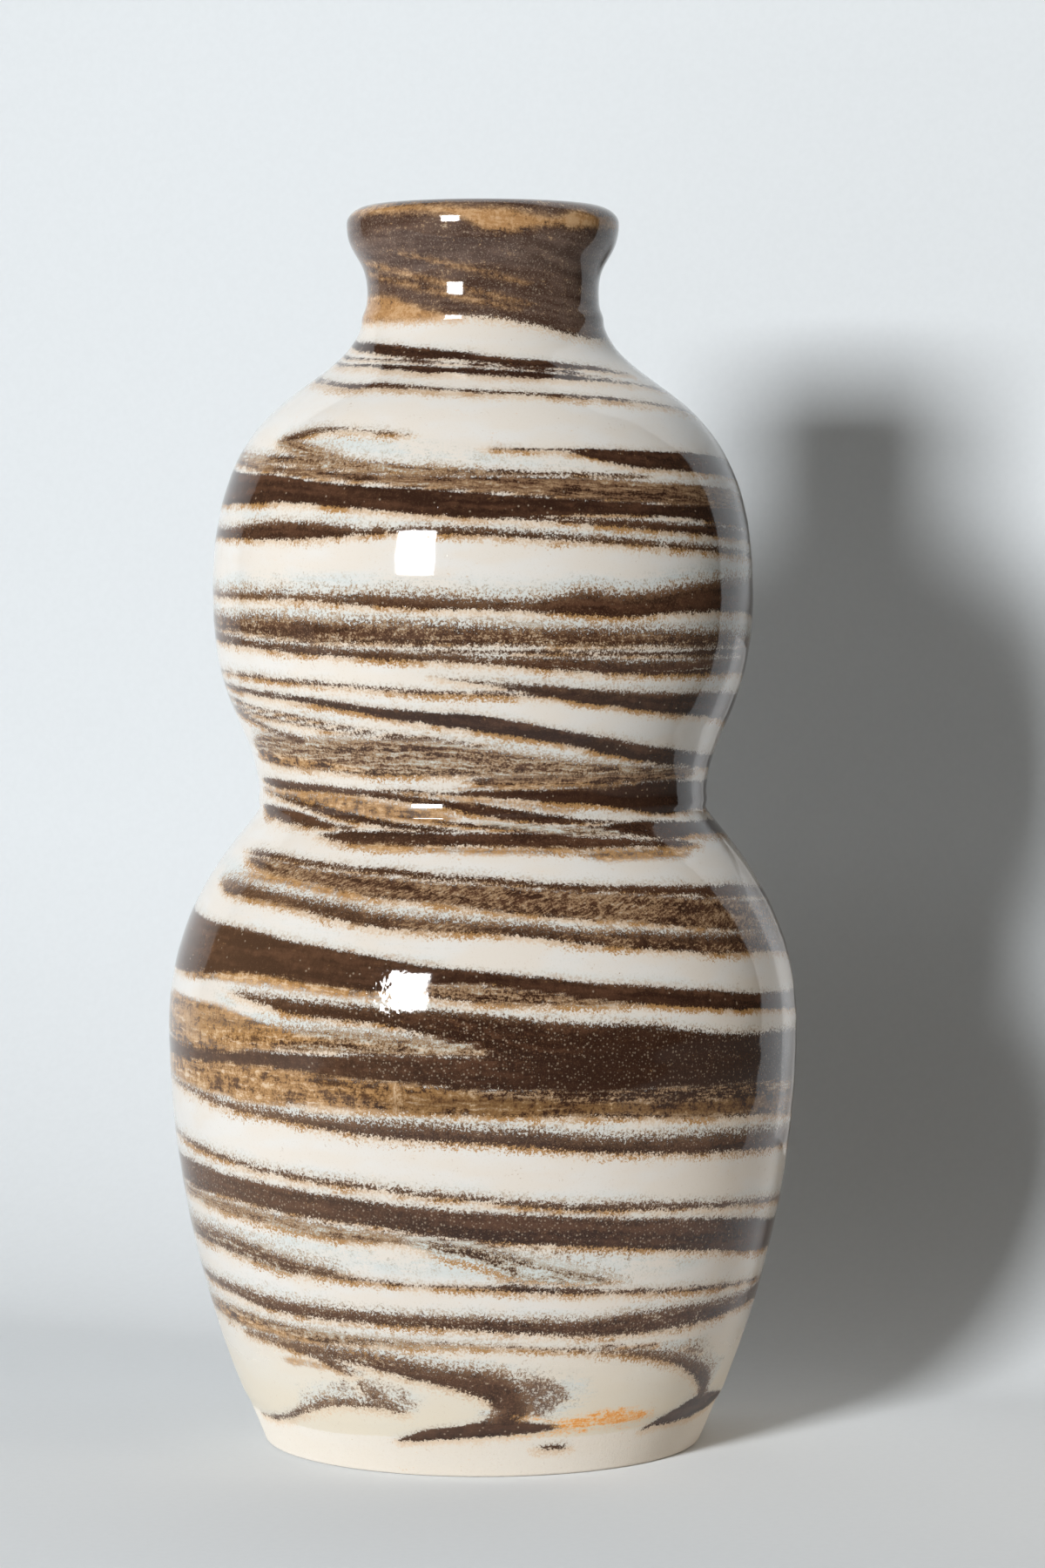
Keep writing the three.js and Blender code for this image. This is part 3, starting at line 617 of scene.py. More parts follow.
def streaks_behind():
    """Random streaks on the side that the photograph doesn't show."""
    made = []
    height, highest = BEHIND_HEIGHTS
    kinds = (SOLID, SOFT, LINE, STREAKY, HATCHED, STIPPLED)
    while height < highest:
        start, end = rng.uniform(*BEHIND_STARTS), rng.uniform(*BEHIND_ENDS)
        thick = rng.choice(BEHIND_THICKNESSES, p=BEHIND_SHARES) * rng.uniform(*BEHIND_VARIES)
        drop = SPIRAL_DROP * (end - start) / 2
        first, last = (thick * taper for taper in BEHIND_TAPERS)
        rows = [
            (start, height + drop, height + drop - first),
            ((start + end) / 2, height, height - thick),
            (end, height - drop, height - drop - last),
        ]
        made.append(streak(rows, kinds[rng.integers(len(kinds))], left=BEHIND_RUN, right=BEHIND_RUN))
        height += thick + rng.uniform(*BEHIND_SPACES)
    return made


def distance_to_streaks(streaks, angles, heights):
    """For each point the signed distance in mm into the nearest streak (positive inside), its number and how
    far the point is above its middle."""
    best = np.full(heights.shape, -FAR)
    number = np.zeros(heights.shape, int)
    above = np.zeros(heights.shape)
    for index, s in enumerate(streaks):
        for turn in (-360, 0, 360):
            middle, half = middle_and_half(s, angles + turn)
            if half.max() < OUT_OF_REACH:
                continue
            up = heights - middle
            depth = half - np.abs(up)
            nearer = depth > best
            best[nearer], number[nearer], above[nearer] = depth[nearer], index, up[nearer]
    return best, number, above


def distance_to_swirls(angles, heights):
    """The same for the swirls at the foot, as the nearest of many discs along each."""
    best = np.full(heights.shape, -FAR)
    number = np.zeros(heights.shape, int)
    above = np.zeros(heights.shape)
    near = np.nonzero(heights[:, 0] < SWIRLS_BELOW)[0]
    for turn in SWIRL_TURNS:
        for index, (_, path) in enumerate(SWIRLS):
            path = np.array(path, float)
            along = np.arange(len(path), dtype=float)
            fine = np.linspace(0, along[-1], SWIRL_DISCS * len(path))
            for angle, height, reach in zip(*(through(fine, along, path[:, k]) for k in (0, 1, 2))):
                off = (angles - (angle + turn) + 180) % 360 - 180
                rise = heights[near] - height
                depth = reach - np.hypot(off * MM_PER_DEGREE_AT_FOOT, rise)
                rows, columns = np.nonzero(depth > best[near])
                best[near[rows], columns] = depth[rows, columns]
                number[near[rows], columns] = index
                above[near[rows], columns] = rise[rows, columns]
    return best, number, above


def marbling_fields(angles, heights):
    """Values that the marbled materials read, on a grid of heights by angles."""
    streak_depth, streak_number, streak_above = distance_to_streaks(ALL_STREAKS, angles, heights)
    swirl_depth, swirl_number, swirl_above = distance_to_swirls(angles, heights)
    into_neck = heights - through(angles, *np.array(NECK_EDGE, float).T)
    swirled = swirl_depth > streak_depth
    on_neck = into_neck > np.maximum(streak_depth, swirl_depth)

    def choose(of_streak, of_swirl, of_neck):
        """For each point the value of what it belongs to."""
        return np.where(on_neck, of_neck, np.where(swirled, of_swirl, of_streak))

    def depth_in(streaks):
        """How far inside the nearest of the streaks each point lies."""
        return distance_to_streaks(streaks, angles, heights)[0]

    depth = choose(streak_depth, swirl_depth, into_neck)
    above = choose(streak_above, swirl_above, into_neck - NECK_HEIGHT)
    half = depth + np.abs(above)
    fields = {
        "brown": np.clip(depth, -FIELD_REACH, FIELD_REACH),
        "upper": np.clip(0.5 + above / UPPER_SOFTNESS, 0, 1),
        "from_top": np.clip(half - above, 0, FIELD_REACH),
        "from_low": np.clip(half + above, 0, FIELD_REACH),
        "layer": above + LAYER_GAP * choose(streak_number, SWIRL_LAYERS + swirl_number, NECK_LAYER),
        "amber": np.clip(depth_in(AMBERS), -FIELD_REACH, FIELD_REACH),
        "around": np.radians(angles) * np.where(on_neck, LIP_RADIUS, BELLY_RADIUS),
        "front": np.broadcast_to(np.clip((FRONT_END - np.abs(angles)) / FRONT_FADE, 0, 1), heights.shape),
    }
    for trait in TRAITS:
        of_streak = np.array([s[trait] for s in ALL_STREAKS])[streak_number]
        of_swirl = np.array([kind[trait] for kind, _ in SWIRLS])[swirl_number]
        fields[trait] = choose(of_streak, of_swirl, NECK_CLAY[trait])
    for name, (streaks, softness) in SOFT_ZONES.items():
        fields[name] = np.clip(0.5 + depth_in(streaks) / softness, 0, 1)
    return fields


def store_marbling(piece, angles, heights):
    """Keeps the marbling's values on a turned mesh. Its points on the axis take those of the rows beside
    them."""
    spare = len(piece.data.vertices) - heights.size
    for name, values in marbling_fields(angles, heights).items():
        flat = np.append(values.ravel(), [values[0, 0], values[-1, 0]][:spare])
        stored = piece.data.attributes.new(name, "FLOAT", "POINT")
        stored.data.foreach_set("value", flat.astype(np.float32))


ALL_STREAKS = settled(STREAKS + streaks_behind())
for group in (AMBERS, HAZES, SMOKES, SPECKLED, RIPPLED, RUST, DEEPENED):
    settled(group)

# Zones with soft edges: their rows, and over how many mm each fades in.
SOFT_ZONES = {
    "haze": (HAZES, 2.4),
    "smoke": (SMOKES, 5.0),
    "specks": (SPECKLED, 6.0),
    "rippled": (RIPPLED, 6.0),
    "rust": (RUST, 2.0),
    "deep": (DEEPENED, 8.0),
}


class Value:
    """A number in a material's nodes, which adds and multiplies as a plain number does."""

    def __init__(self, shader, socket):
        self.shader, self.socket = shader, socket

    def __add__(self, other):
        return self.shader.math("ADD", self, other)

    def __sub__(self, other):
        return self.shader.math("SUBTRACT", self, other)

    def __rsub__(self, other):
        return self.shader.math("SUBTRACT", other, self)

    def __mul__(self, other):
        return self.shader.math("MULTIPLY", self, other)

    def __truediv__(self, other):
        return self.shader.math("DIVIDE", self, other)

    __radd__ = __add__
    __rmul__ = __mul__


class Shader:
    """Writes the nodes of one material."""

    # Spreads the noise node's values, which keep close to 0.5, to about -1 to 1.
    NOISE_LIFT = 4.5

    def __init__(self, name):
        self.material = bpy.data.materials.new(name)
        self.material.use_nodes = True
        self.tree = self.material.node_tree
        self.surface = self.tree.nodes["Principled BSDF"]
        at = self.node("ShaderNodeTexCoord").outputs["Object"]
        in_mm = self.node("ShaderNodeVectorMath", {0: at, 1: [1 / METRE] * 3}, operation="MULTIPLY")
        self.place = in_mm.outputs[0]
        parts = self.node("ShaderNodeSeparateXYZ", {0: self.place}).outputs
        self.x, self.y, self.z = (Value(self, part) for part in parts)

    def put(self, socket, value):
        """Sets a socket to a number or a colour, or links a value to it."""
        value = value.socket if isinstance(value, Value) else value
        if isinstance(value, bpy.types.NodeSocket):
            self.tree.links.new(value, socket)
        else:
            socket.default_value = (*value, 1) if socket.type == "RGBA" else value

    def node(self, kind, inputs=(), **settings):
        """A new node with its settings and inputs."""
        made = self.tree.nodes.new(kind)
        for key, value in settings.items():
            setattr(made, key, value)
        for key, value in dict(inputs).items():
            self.put(made.inputs[key], value)
        return made

    def value(self, kind, inputs=(), output=0, **settings):
        """The number that a new node gives."""
        return Value(self, self.node(kind, inputs, **settings).outputs[output])

    def field(self, name):
        """A number stored on the mesh."""
        return self.value("ShaderNodeAttribute", (), "Fac", attribute_name=name, attribute_type="GEOMETRY")

    def math(self, operation, a, b):
        """One number from two."""
        return self.value("ShaderNodeMath", {0: a, 1: b}, operation=operation)

    def ramp(self, value, low, high, to_low, to_high, shape):
        """Clamped map of a value from the range low to high onto another, along a shape."""
        inputs = {"Value": value, "From Min": low, "From Max": high, "To Min": to_low, "To Max": to_high}
        return self.value("ShaderNodeMapRange", inputs, interpolation_type=shape)

    def step(self, value, low, high, to_low=0.0, to_high=1.0):
        """Smooth step of a value from low to high."""
        return self.ramp(value, low, high, to_low, to_high, "SMOOTHSTEP")

    def line(self, value, low, high, to_low=0.0, to_high=1.0):
        """Straight and clamped map of a value."""
        return self.ramp(value, low, high, to_low, to_high, "LINEAR")

    def mix(self, share, a, b):
        """Colour between a and b."""
        made = self.node("ShaderNodeMix", {0: share, 6: a, 7: b}, data_type="RGBA", clamp_factor=True)
        return made.outputs[2]

    def blend(self, share, a, b):
        """Number between a and b."""
        return self.value("ShaderNodeMix", {0: share, 2: a, 3: b}, data_type="FLOAT", clamp_factor=True)

    def noise(self, at, size=1.0, detail=2.0, roughness=0.5):
        """Noise about 0, mostly from -1 to 1, with grains of a size, at a place or at three numbers."""
        if isinstance(at, tuple):
            at = self.node("ShaderNodeCombineXYZ", dict(enumerate(at))).outputs[0]
        inputs = {"Vector": at, "Scale": 1 / size, "Detail": detail, "Roughness": roughness}
        return (self.value("ShaderNodeTexNoise", inputs, "Fac") - 0.5) * self.NOISE_LIFT

    def cells(self, size):
        """Distance to the nearest of points scattered about a size apart, in sizes, and each point's own
        random number."""
        made = self.node("ShaderNodeTexVoronoi", {"Vector": self.place, "Scale": 1 / size})
        random = self.value("ShaderNodeSeparateColor", {0: made.outputs["Color"]})
        return Value(self, made.outputs["Distance"]), random

    def spots(self, spacing, share, edge, core):
        """Round spots at a share of such points, each fading out from its core to its edge."""
        distance, random = self.cells(spacing)
        return self.math("LESS_THAN", random, share) * self.step(distance, edge, core)

    def finish(self, colour, roughness, height, depth):
        """Sets the surface. The height is a bump of so many mm."""
        bump = self.node("ShaderNodeBump", {"Height": height, "Strength": 1.0, "Distance": depth * METRE})
        self.put(self.surface.inputs["Base Color"], colour)
        self.put(self.surface.inputs["Roughness"], roughness)
        self.put(self.surface.inputs["Normal"], bump.outputs[0])
        return self.material


# Colours of the fired clays and of what runs between them, linear.
CREAM, WARM_CREAM, SANDY_CREAM = (0.75, 0.715, 0.672), (0.75, 0.69, 0.62), (0.64, 0.55, 0.44)
FOOT_CREAM, FOOT_GLAZED = (0.75, 0.69, 0.605), (0.725, 0.645, 0.50)
MILKY_BLUE, VEIL = (0.64, 0.665, 0.645), (0.50, 0.45, 0.37)
DEEP_BROWN, CHOCOLATE = (0.036, 0.0155, 0.009), (0.102, 0.046, 0.025)
UMBER, TAN, SPECK = (0.205, 0.112, 0.06), (0.37, 0.235, 0.13), (0.36, 0.27, 0.19)
RUSSET, GOLDEN_BROWN = (0.12, 0.055, 0.022), (0.20, 0.105, 0.038)
AMBER, PALE_AMBER, NECK_AMBER = (0.44, 0.235, 0.085), (0.65, 0.43, 0.23), (0.62, 0.34, 0.15)
FRINGE, PEACH = (0.44, 0.245, 0.095), (0.72, 0.56, 0.40)
ORANGE, PALE_ORANGE = (0.78, 0.30, 0.04), (0.84, 0.47, 0.17)
NECK_BROWN, NECK_SHADE, NECK_DUST = (0.16, 0.102, 0.077), (0.088, 0.048, 0.033), (0.31, 0.235, 0.18)

# What changes with height, as (from mm, to mm, value at the first, value at the second): how far a place is
# of the neck's clay, the tint at the foot, fringes over the foot and under the neck, the paler brown, which
# also fades out from the left to the middle, and the roughness of the glaze.
NECK_CHANGE, FOOT_TINT = (222, 226, 0.0, 1.0), (34, 8, 0.0, 0.7)
FRINGE_AT_FOOT, FRINGE_UNDER_NECK = (12, 26, 0.35, 1.0), (222, 202, 0.4, 1.0)
PALER_LEFT, PALER_BELOW = (-52, -4, 0.3, 0.0), (190, 115, 0.2, 1.0)
SATIN = (12, 40, 0.36, 0.055)

# Specks: how far apart, in mm, and what share of them shows where they lie thin and thick. Pinholes and
# bubbles, as (how far apart, share that shows, edge, core), the last two as shares of the first.
SPECK_SPACING, SPECK_SHARES = 0.62, (0.03, 0.8)
PINHOLES, BUBBLES = (7.0, 0.16, 0.045, 0.02), (1.5, 0.35, 0.16, 0.02)

# Index of refraction, diffuse roughness and depth of the bumps in mm, of glazed and of bare clay, and the
# depth alone of what lies inside the walls.
GLAZED_SURFACE, BARE_SURFACE, HIDDEN_BUMPS = (1.5, 0.65, 0.06), (1.45, 1.0, 0.09), 0.03


def marbled(name, glazed):
    """Marbled clay under a clear glaze, or bare."""
    s = Shader(name)
    x, y, z, place = s.x, s.y, s.z, s.place
    brown, upper, layer, deep = (s.field(of) for of in ("brown", "upper", "layer", "deep"))
    broken, tone, fade, hatched, grainy = (s.field(trait) for trait in TRAITS)
    around, stain = s.field("around"), s.field("amber")
    on_neck = s.step(z, *NECK_CHANGE)

    # Noises: slow changes, wobble, clots, upright teeth, grain, streaks along the layers, and slanting hairs.
    slow = s.noise((x / 16, y / 16, z / 5))
    wobble = s.noise(place, 4.5)
    clots = s.noise(place, 1.8, 2.0, 0.6)
    teeth = s.noise((x / 0.7, y / 0.7, z / 2), 1.0, 2.0, 0.6)
    grain = s.noise(place, 0.5, 2.0, 0.8)
    fine_grain = s.noise(place, 0.27, 1.0)
    bend = 0.3 * wobble + 0.12 * clots
    slope = s.blend(on_neck, 0.36, -0.3)
    hairs = s.noise(((around + z * slope) / 2.8, (z - around * slope + bend) / 0.48, 0.0), 1.0, 3.0, 0.7)
    hairs = 0.85 * hairs * s.field("front")
    streaks = s.noise((x / 7, y / 7, (layer + bend) / 0.6), 1.0, 3.0, 0.7)
    broad = s.noise((x / 18, y / 18, (layer + bend) / 1.6))
    lines = s.blend(hatched, streaks, hairs + 0.3 * streaks)
    mottle = 0.8 * grain + 0.4 * clots
    grainy_share = s.line(grainy, 0.0, 1.7, 0.1, 1.0)
    speckle = grain * s.line(grainy, 0.0, 2.0, 0.5, 1.5)

    # How much of a place is brown: a toothed edge below, and above a grainy one that fades out.
    drift = 0.16 * wobble + 0.14 * slow
    low = brown + drift + 0.14 * teeth + 0.68 * speckle + 0.12 * lines
    top = (brown + drift) / (fade + 0.1) + speckle + 0.35 * lines
    zone = s.blend(upper, s.step(low, -0.2, 0.25), s.step(top, -0.45, 0.45))

    # Ground colour: cream, with a milky veil over the brown's upper edges and in the hazes.
    cream = s.mix(s.step(slow, -0.5, 0.6), WARM_CREAM, CREAM)
    cream = s.mix(s.step(z, *FOOT_TINT), cream, FOOT_GLAZED if glazed else FOOT_CREAM)
    cream = s.mix(s.step(fine_grain + 0.6 * grain, 0.35, 1.4, 0.0, 0.3), cream, SANDY_CREAM)
    haze = s.field("haze") * s.step(lines + mottle + slow, -0.9, 0.5)
    over = s.step(top + 0.9 * slow, -3.2, -0.6) * upper * s.line(fade, 0.3, 1.2, 0.3, 0.9)
    veil_colour = s.mix(s.step(mottle, 0.0, 0.7, 0.0, 0.8), MILKY_BLUE, VEIL)
    ground = s.mix(0.85 * s.math("MAXIMUM", haze, over), cream, veil_colour)
    near_top = s.step(top, -1.7, -0.3) * upper * s.step(fade, 0.4, 1.2, 0.25, 0.8)
    ground = s.mix(near_top * s.step(mottle, -0.3, 0.5), ground, TAN)

    # Orange fringe along the lower edges, stippled and patchy.
    under = 1.15 - upper
    patchy = s.step(slow + 0.7 * wobble, -0.9, 0.5, 0.35, 1.0)
    patchy = patchy * s.step(z, *FRINGE_AT_FOOT) * s.step(z, *FRINGE_UNDER_NECK)
    fringe = low + 0.45 * (speckle + 0.4 * slow + 0.6 * clots)
    ground = s.mix(0.6 * under * s.step(fringe, -1.8, -0.5), ground, PEACH)
    ground = s.mix(under * patchy * patchy * s.step(fringe, -1.2, -0.35), ground, FRINGE)

    # Amber stains over cream and between the dark lines.
    amber = stain + 0.35 * lines + 0.3 * wobble + 0.55 * mottle
    amber = s.step(amber, s.blend(on_neck, -0.6, -1.3), s.blend(on_neck, 0.7, 1.3))
    varied = 0.42 * lines + 0.55 * broad + 0.75 * mottle + 0.35 * (wobble + clots) + 0.4 * on_neck
    amber_colour = s.mix(s.step(varied, -0.75, 0.1), RUSSET, AMBER)
    amber_colour = s.mix(s.step(varied, 0.2, 0.85), amber_colour, PALE_AMBER)
    palest = s.step(0.9 * lines + 0.5 * varied - 0.3 * on_neck, 0.4, 0.95, 0.0, 0.75)
    amber_colour = s.mix(palest, amber_colour, PEACH)
    amber_colour = s.mix(0.4 * on_neck, amber_colour, NECK_AMBER)
    golden = s.mix(s.step(varied, -0.5, 0.5), RUSSET, GOLDEN_BROWN)
    amber_colour = s.mix(deep * s.step(varied, 1.3, 0.6, 0.35, 0.95), amber_colour, golden)
    ground = s.mix(0.92 * amber, ground, amber_colour)

    # Loose grains of brown.
    loose = s.line(s.field("smoke"), 0.0, 1.0, -1.5, 0.35) + 0.8 * grain + 0.45 * (clots + wobble)
    loose_colour = s.mix(s.step(fine_grain + clots, -0.3, 0.4), CHOCOLATE, UMBER)
    ground = s.mix(0.4 * s.step(loose, -0.7, -0.1), ground, TAN)
    ground = s.mix(0.9 * s.step(loose, -0.2, 0.35), ground, loose_colour)

    # The brown itself: darkest near its lower edge, lighter and greyer near its upper one.
    cloudy = 0.8 * broad + 0.4 * clots + 0.5 * grain * grainy_share + s.line(tone, 0.05, 0.3, -0.2, 0.4)
    dark = s.mix(s.step(cloudy, -0.6, 0.8), DEEP_BROWN, CHOCOLATE)
    dark = s.mix(0.5 * s.step(s.field("from_low"), 2.0, 0.1), dark, DEEP_BROWN)
    greyer = s.step(s.field("from_top"), 2.4 * fade, 0.0) * s.step(fade, 0.3, 1.2)
    dark = s.mix(greyer * s.step(mottle, -0.6, 0.5, 0.1, 0.9), dark, UMBER)
    dark = s.mix(s.line(x, *PALER_LEFT) * s.step(z, *PALER_BELOW), dark, UMBER)
    dark = s.mix(0.85 * deep, dark, DEEP_BROWN)
    neck_brown = s.mix(s.step(broad + 0.5 * wobble, -0.7, 0.7), NECK_SHADE, NECK_BROWN)
    dark = s.mix(0.75 * on_neck, dark, neck_brown)
    dusty = s.step(fine_grain + 0.8 * grain, 0.2, 1.1, 0.0, 0.6) * grainy_share
    dark = s.mix(dusty * s.line(deep, 0.0, 1.0, 1.0, 0.5), dark, s.mix(on_neck, UMBER, NECK_DUST))

    # Between the dark lines of a broken streak: umber, tan, grey and cream, the lighter the higher its tone.
    gap = lines * s.line(grainy, 0.6, 1.7, 1.0, 0.55) + 0.45 * broad + 0.5 * drift
    gap = gap + mottle * s.line(grainy, 0.0, 1.7, 0.35, 1.0)
    light = gap + s.line(tone, 0.0, 1.0, -0.9, 0.8)
    between_lines = s.mix(s.step(light, -0.5, 0.15), UMBER, TAN)
    between_lines = s.mix(s.step(light, 0.15, 0.75), between_lines, VEIL)
    between_lines = s.mix(s.step(light, 0.7, 1.3), between_lines, MILKY_BLUE)
    between_lines = s.mix(0.9 * amber, between_lines, amber_colour)
    opened = s.step(gap + s.line(broken, 0.0, 1.0, -1.7, 0.3), -0.3, 0.35)
    opened = s.math("MAXIMUM", opened, 0.95 * amber * s.step(varied + 0.35 * stain, -0.6, 0.2))
    colour = s.mix(zone, ground, s.mix(opened, dark, between_lines))

    # Iron bled orange at the foot.
    rust = s.line(s.field("rust"), 0.0, 1.0, -2.4, 0.6) + 0.9 * grain + 1.1 * streaks + 0.6 * clots
    colour = s.mix(0.3 * s.step(rust, -1.3, -0.2), colour, PALE_ORANGE)
    iron = s.mix(s.step(rust, 0.1, 1.1), PALE_ORANGE, ORANGE)
    colour = s.mix(0.95 * s.step(rust, -0.4, 0.4), colour, iron)

    # Pale specks, thick in places and thin everywhere else, and a few dark pinholes in the cream.
    distance, random = s.cells(SPECK_SPACING)
    reach = s.line(random, 0.0, 0.8, 0.36, 0.14)
    speck = s.math("LESS_THAN", random, s.blend(s.field("specks"), *SPECK_SHARES))
    speck = speck * s.step(distance, reach + 0.1, reach - 0.1) * zone * (1 - opened)
    colour = s.mix(speck * s.line(deep, 0.0, 1.0, 0.7, 0.45), colour, SPECK)
    colour = s.mix(0.7 * s.spots(*PINHOLES), colour, UMBER)

    # Gloss: clear above, satin towards the foot, with tiny bubbles under the surface.
    bubbles = s.spots(*BUBBLES)
    refraction, matt, depth = GLAZED_SURFACE if glazed else BARE_SURFACE
    s.surface.inputs["IOR"].default_value = refraction
    s.surface.inputs["Diffuse Roughness"].default_value = matt
    if glazed:
        satin = s.step(z + 3 * slow, *SATIN)
        ripple = s.noise(place, 1.3, 1.0) * s.line(s.field("rippled"), 0.0, 1.0, 0.02, 0.27)
        height = 0.09 * s.noise(place, 5.0, 1.0) + ripple - 0.35 * bubbles + 0.006 * fine_grain
        return s.finish(colour, satin + 0.007 * fine_grain, height, depth)
    height = 0.2 * grain + 0.12 * teeth - 0.8 * bubbles
    return s.finish(colour, s.step(fine_grain, -0.9, 0.9, 0.72, 0.86), height, depth)


def bare(name, pale, deep):
    """Plain bare clay or slip, for what lies inside the walls."""
    s = Shader(name)
    grain = s.noise(s.place, 0.5, 3.0, 0.6)
    colour = s.mix(s.step(grain + s.noise(s.place, 9.0), -0.9, 0.9), pale, deep)
    return s.finish(colour, s.step(grain, -0.9, 0.9, 0.74, 0.9), grain, HIDDEN_BUMPS)


def throwing_swell(angles, heights):
    """How far the thrower's rings and the low ridges stand out."""
    swell = 0
    for gap, start, deep in THROWING_RINGS:
        swell = swell + deep * np.sin(2 * np.pi * (heights / gap - angles / 360) + start)
    for at, reach, deep in RIDGES:
        swell = swell + deep * np.exp(-(((heights - at) / reach) ** 2))
    return swell


def wavy_glaze_line(radius, height, angles):
    """Lets the glaze's lower edge wander up and down, fading out a little higher."""
    waves = (deep * np.sin(count * np.radians(angles) + start) for count, start, deep in EDGE_WAVES)
    fade = np.clip(1 - (height - GLAZE_LINE_HEIGHT) / EDGE_FADE, 0, 1)
    moved = height + sum(waves, EDGE_LIFT) * fade
    return radius + (radius_at(outside, moved) - radius_at(outside, height)), moved


def outside_glaze():
    """The glossy marbled coat, from the glaze line up the outside and over the lip."""
    over_lip = between(inside, CREST_HEIGHT - LIP_COAT_DEPTH, CREST_HEIGHT)[::-1]
    run = eased(joined(between(outside, GLAZE_LINE_HEIGHT, CREST_HEIGHT), over_lip), GLAZE_ROWS)
    edge = np.clip(lengths_along(run) / GLAZE_EDGE_RISE, 0, 1)
    thickness = GLAZE_THICKNESS * edge**2 * (3 - 2 * edge)
    face = run + outward(run) * thickness[:, None]
    profile = np.concatenate([face, eased(run, SEAT_ROWS)[::-1][:-1]])
    piece, *grid = turned_piece(
        "marbled_glaze", profile, GLAZE_SEGMENTS, True, wavy_glaze_line, throwing_swell
    )
    crease(piece, GLAZE_SEGMENTS)
    store_marbling(piece, *grid)
    piece.data.materials.append(marbled("glazed marbling", True))
    return piece


def lining():
    """The glazed inside, from the lip's coat down to the middle of the floor."""
    wall = between(inside, FLOOR_HEIGHT, CREST_HEIGHT - LIP_COAT_DEPTH)
    wall = joined(spaced(np.array([(0.0, FLOOR_HEIGHT), wall[0]]), FLOOR_ROWS), spaced(wall, LINING_ROWS))
    face = wall + outward(wall[::-1])[::-1] * GLAZE_THICKNESS
    face[0] = (0, FLOOR_HEIGHT + GLAZE_THICKNESS)
    seat = np.concatenate([wall[:1], spaced(wall, INSIDE_ROWS)[1:]])
    piece, *grid = turned_piece("glazed_lining", np.concatenate([seat, face[::-1]]), WALL_SEGMENTS, False)
    store_marbling(piece, *grid)
    piece.data.materials.append(marbled("glazed lining", True))
    return piece


def groove(height, size):
    """A groove across the wall's rim at a joint, from its outer edge to its inner one."""
    width, depth = size
    middle = sum(radius_at(run, height) for run in (outside, inside)) / 2
    return np.array([(middle + width / 2, height), (middle, height - depth), (middle - width / 2, height)])


def lower_wall():
    """Lower bulb in clay, with its bare foot: the ring that it stands on and the hollow inside it."""
    stand = FOOT_RADIUS - FOOT_EDGE
    ring_inside = stand - FOOT_RING_WIDTH
    cove = quarter_ellipse((ring_inside - HOLLOW_COVE, 0), HOLLOW_COVE, HOLLOW_DEPTH, 0)[::-1]
    edge_at = float(radius_at(outside, FOOT_EDGE))
    soft, tuck = 0.4 * FOOT_EDGE, 0.05
    edge = bezier((stand, 0), (stand + soft, 0), (edge_at - tuck, soft), (edge_at, FOOT_EDGE))
    profile = np.concatenate([
        spaced(np.array([(0.0, HOLLOW_DEPTH), cove[0]]), HOLLOW_ROWS)[:-1],
        spaced(cove, HOLLOW_ROWS),
        spaced(np.array([(ring_inside, 0.0), (stand, 0.0)]), EDGE_ROWS)[1:-1],
        spaced(edge, EDGE_ROWS),
        spaced(between(outside, FOOT_EDGE, BARE_FOOT_TOP), FOOT_ROWS)[1:-1],
        eased(between(outside, BARE_FOOT_TOP, WAIST_HEIGHT), LOWER_ROWS),
        groove(WAIST_HEIGHT, WAIST_GROOVE),
        spaced(between(inside, FLOOR_HEIGHT, WAIST_HEIGHT), INSIDE_ROWS)[::-1],
        [(0, FLOOR_HEIGHT)],
    ])
    piece, *grid = turned_piece("foot_and_lower_wall", profile, FOOT_SEGMENTS, False, swell=throwing_swell)
    store_marbling(piece, *grid)
    piece.data.materials.append(marbled("bare marbled clay", False))
    return piece


def ring(name, low, high, low_groove, high_groove, rows, material):
    """A ring of wall between two heights, with a groove or ridge at each end."""
    up = eased(between(outside, low, high), rows)
    down = spaced(between(inside, low, high), rows)[::-1]
    profile = np.concatenate([up, high_groove, down, low_groove[::-1]])
    piece = turned_piece(name, profile, WALL_SEGMENTS, True)[0]
    piece.data.materials.append(material)
    return piece


def neck_wall(low, low_groove, material):
    """Neck and rolled lip in clay, under the coat."""
    up = spaced(between(outside, low, CREST_HEIGHT), NECK_ROWS)
    down = spaced(between(inside, low, CREST_HEIGHT), BORE_ROWS)[::-1]
    profile = np.concatenate([joined(up, down), low_groove[::-1]])
    piece = turned_piece("neck_wall", profile, WALL_SEGMENTS, True)[0]
    piece.data.materials.append(material)
    return piece


wall_clay = bare("wall clay", pale=(0.72, 0.62, 0.50), deep=(0.22, 0.13, 0.085))
neck_clay = bare("neck clay", pale=(0.10, 0.055, 0.036), deep=(0.16, 0.09, 0.06))
slip = bare("joint slip", pale=(0.70, 0.58, 0.46), deep=(0.6, 0.48, 0.36))

slip_rise = np.array([0, SLIP_THICKNESS])
waist_groove, neck_groove = groove(WAIST_HEIGHT, WAIST_GROOVE), groove(NECK_JOINT_HEIGHT, NECK_GROOVE)
waist_tongue, neck_tongue = waist_groove + slip_rise, neck_groove + slip_rise
waist_top, neck_top = WAIST_HEIGHT + SLIP_THICKNESS, NECK_JOINT_HEIGHT + SLIP_THICKNESS

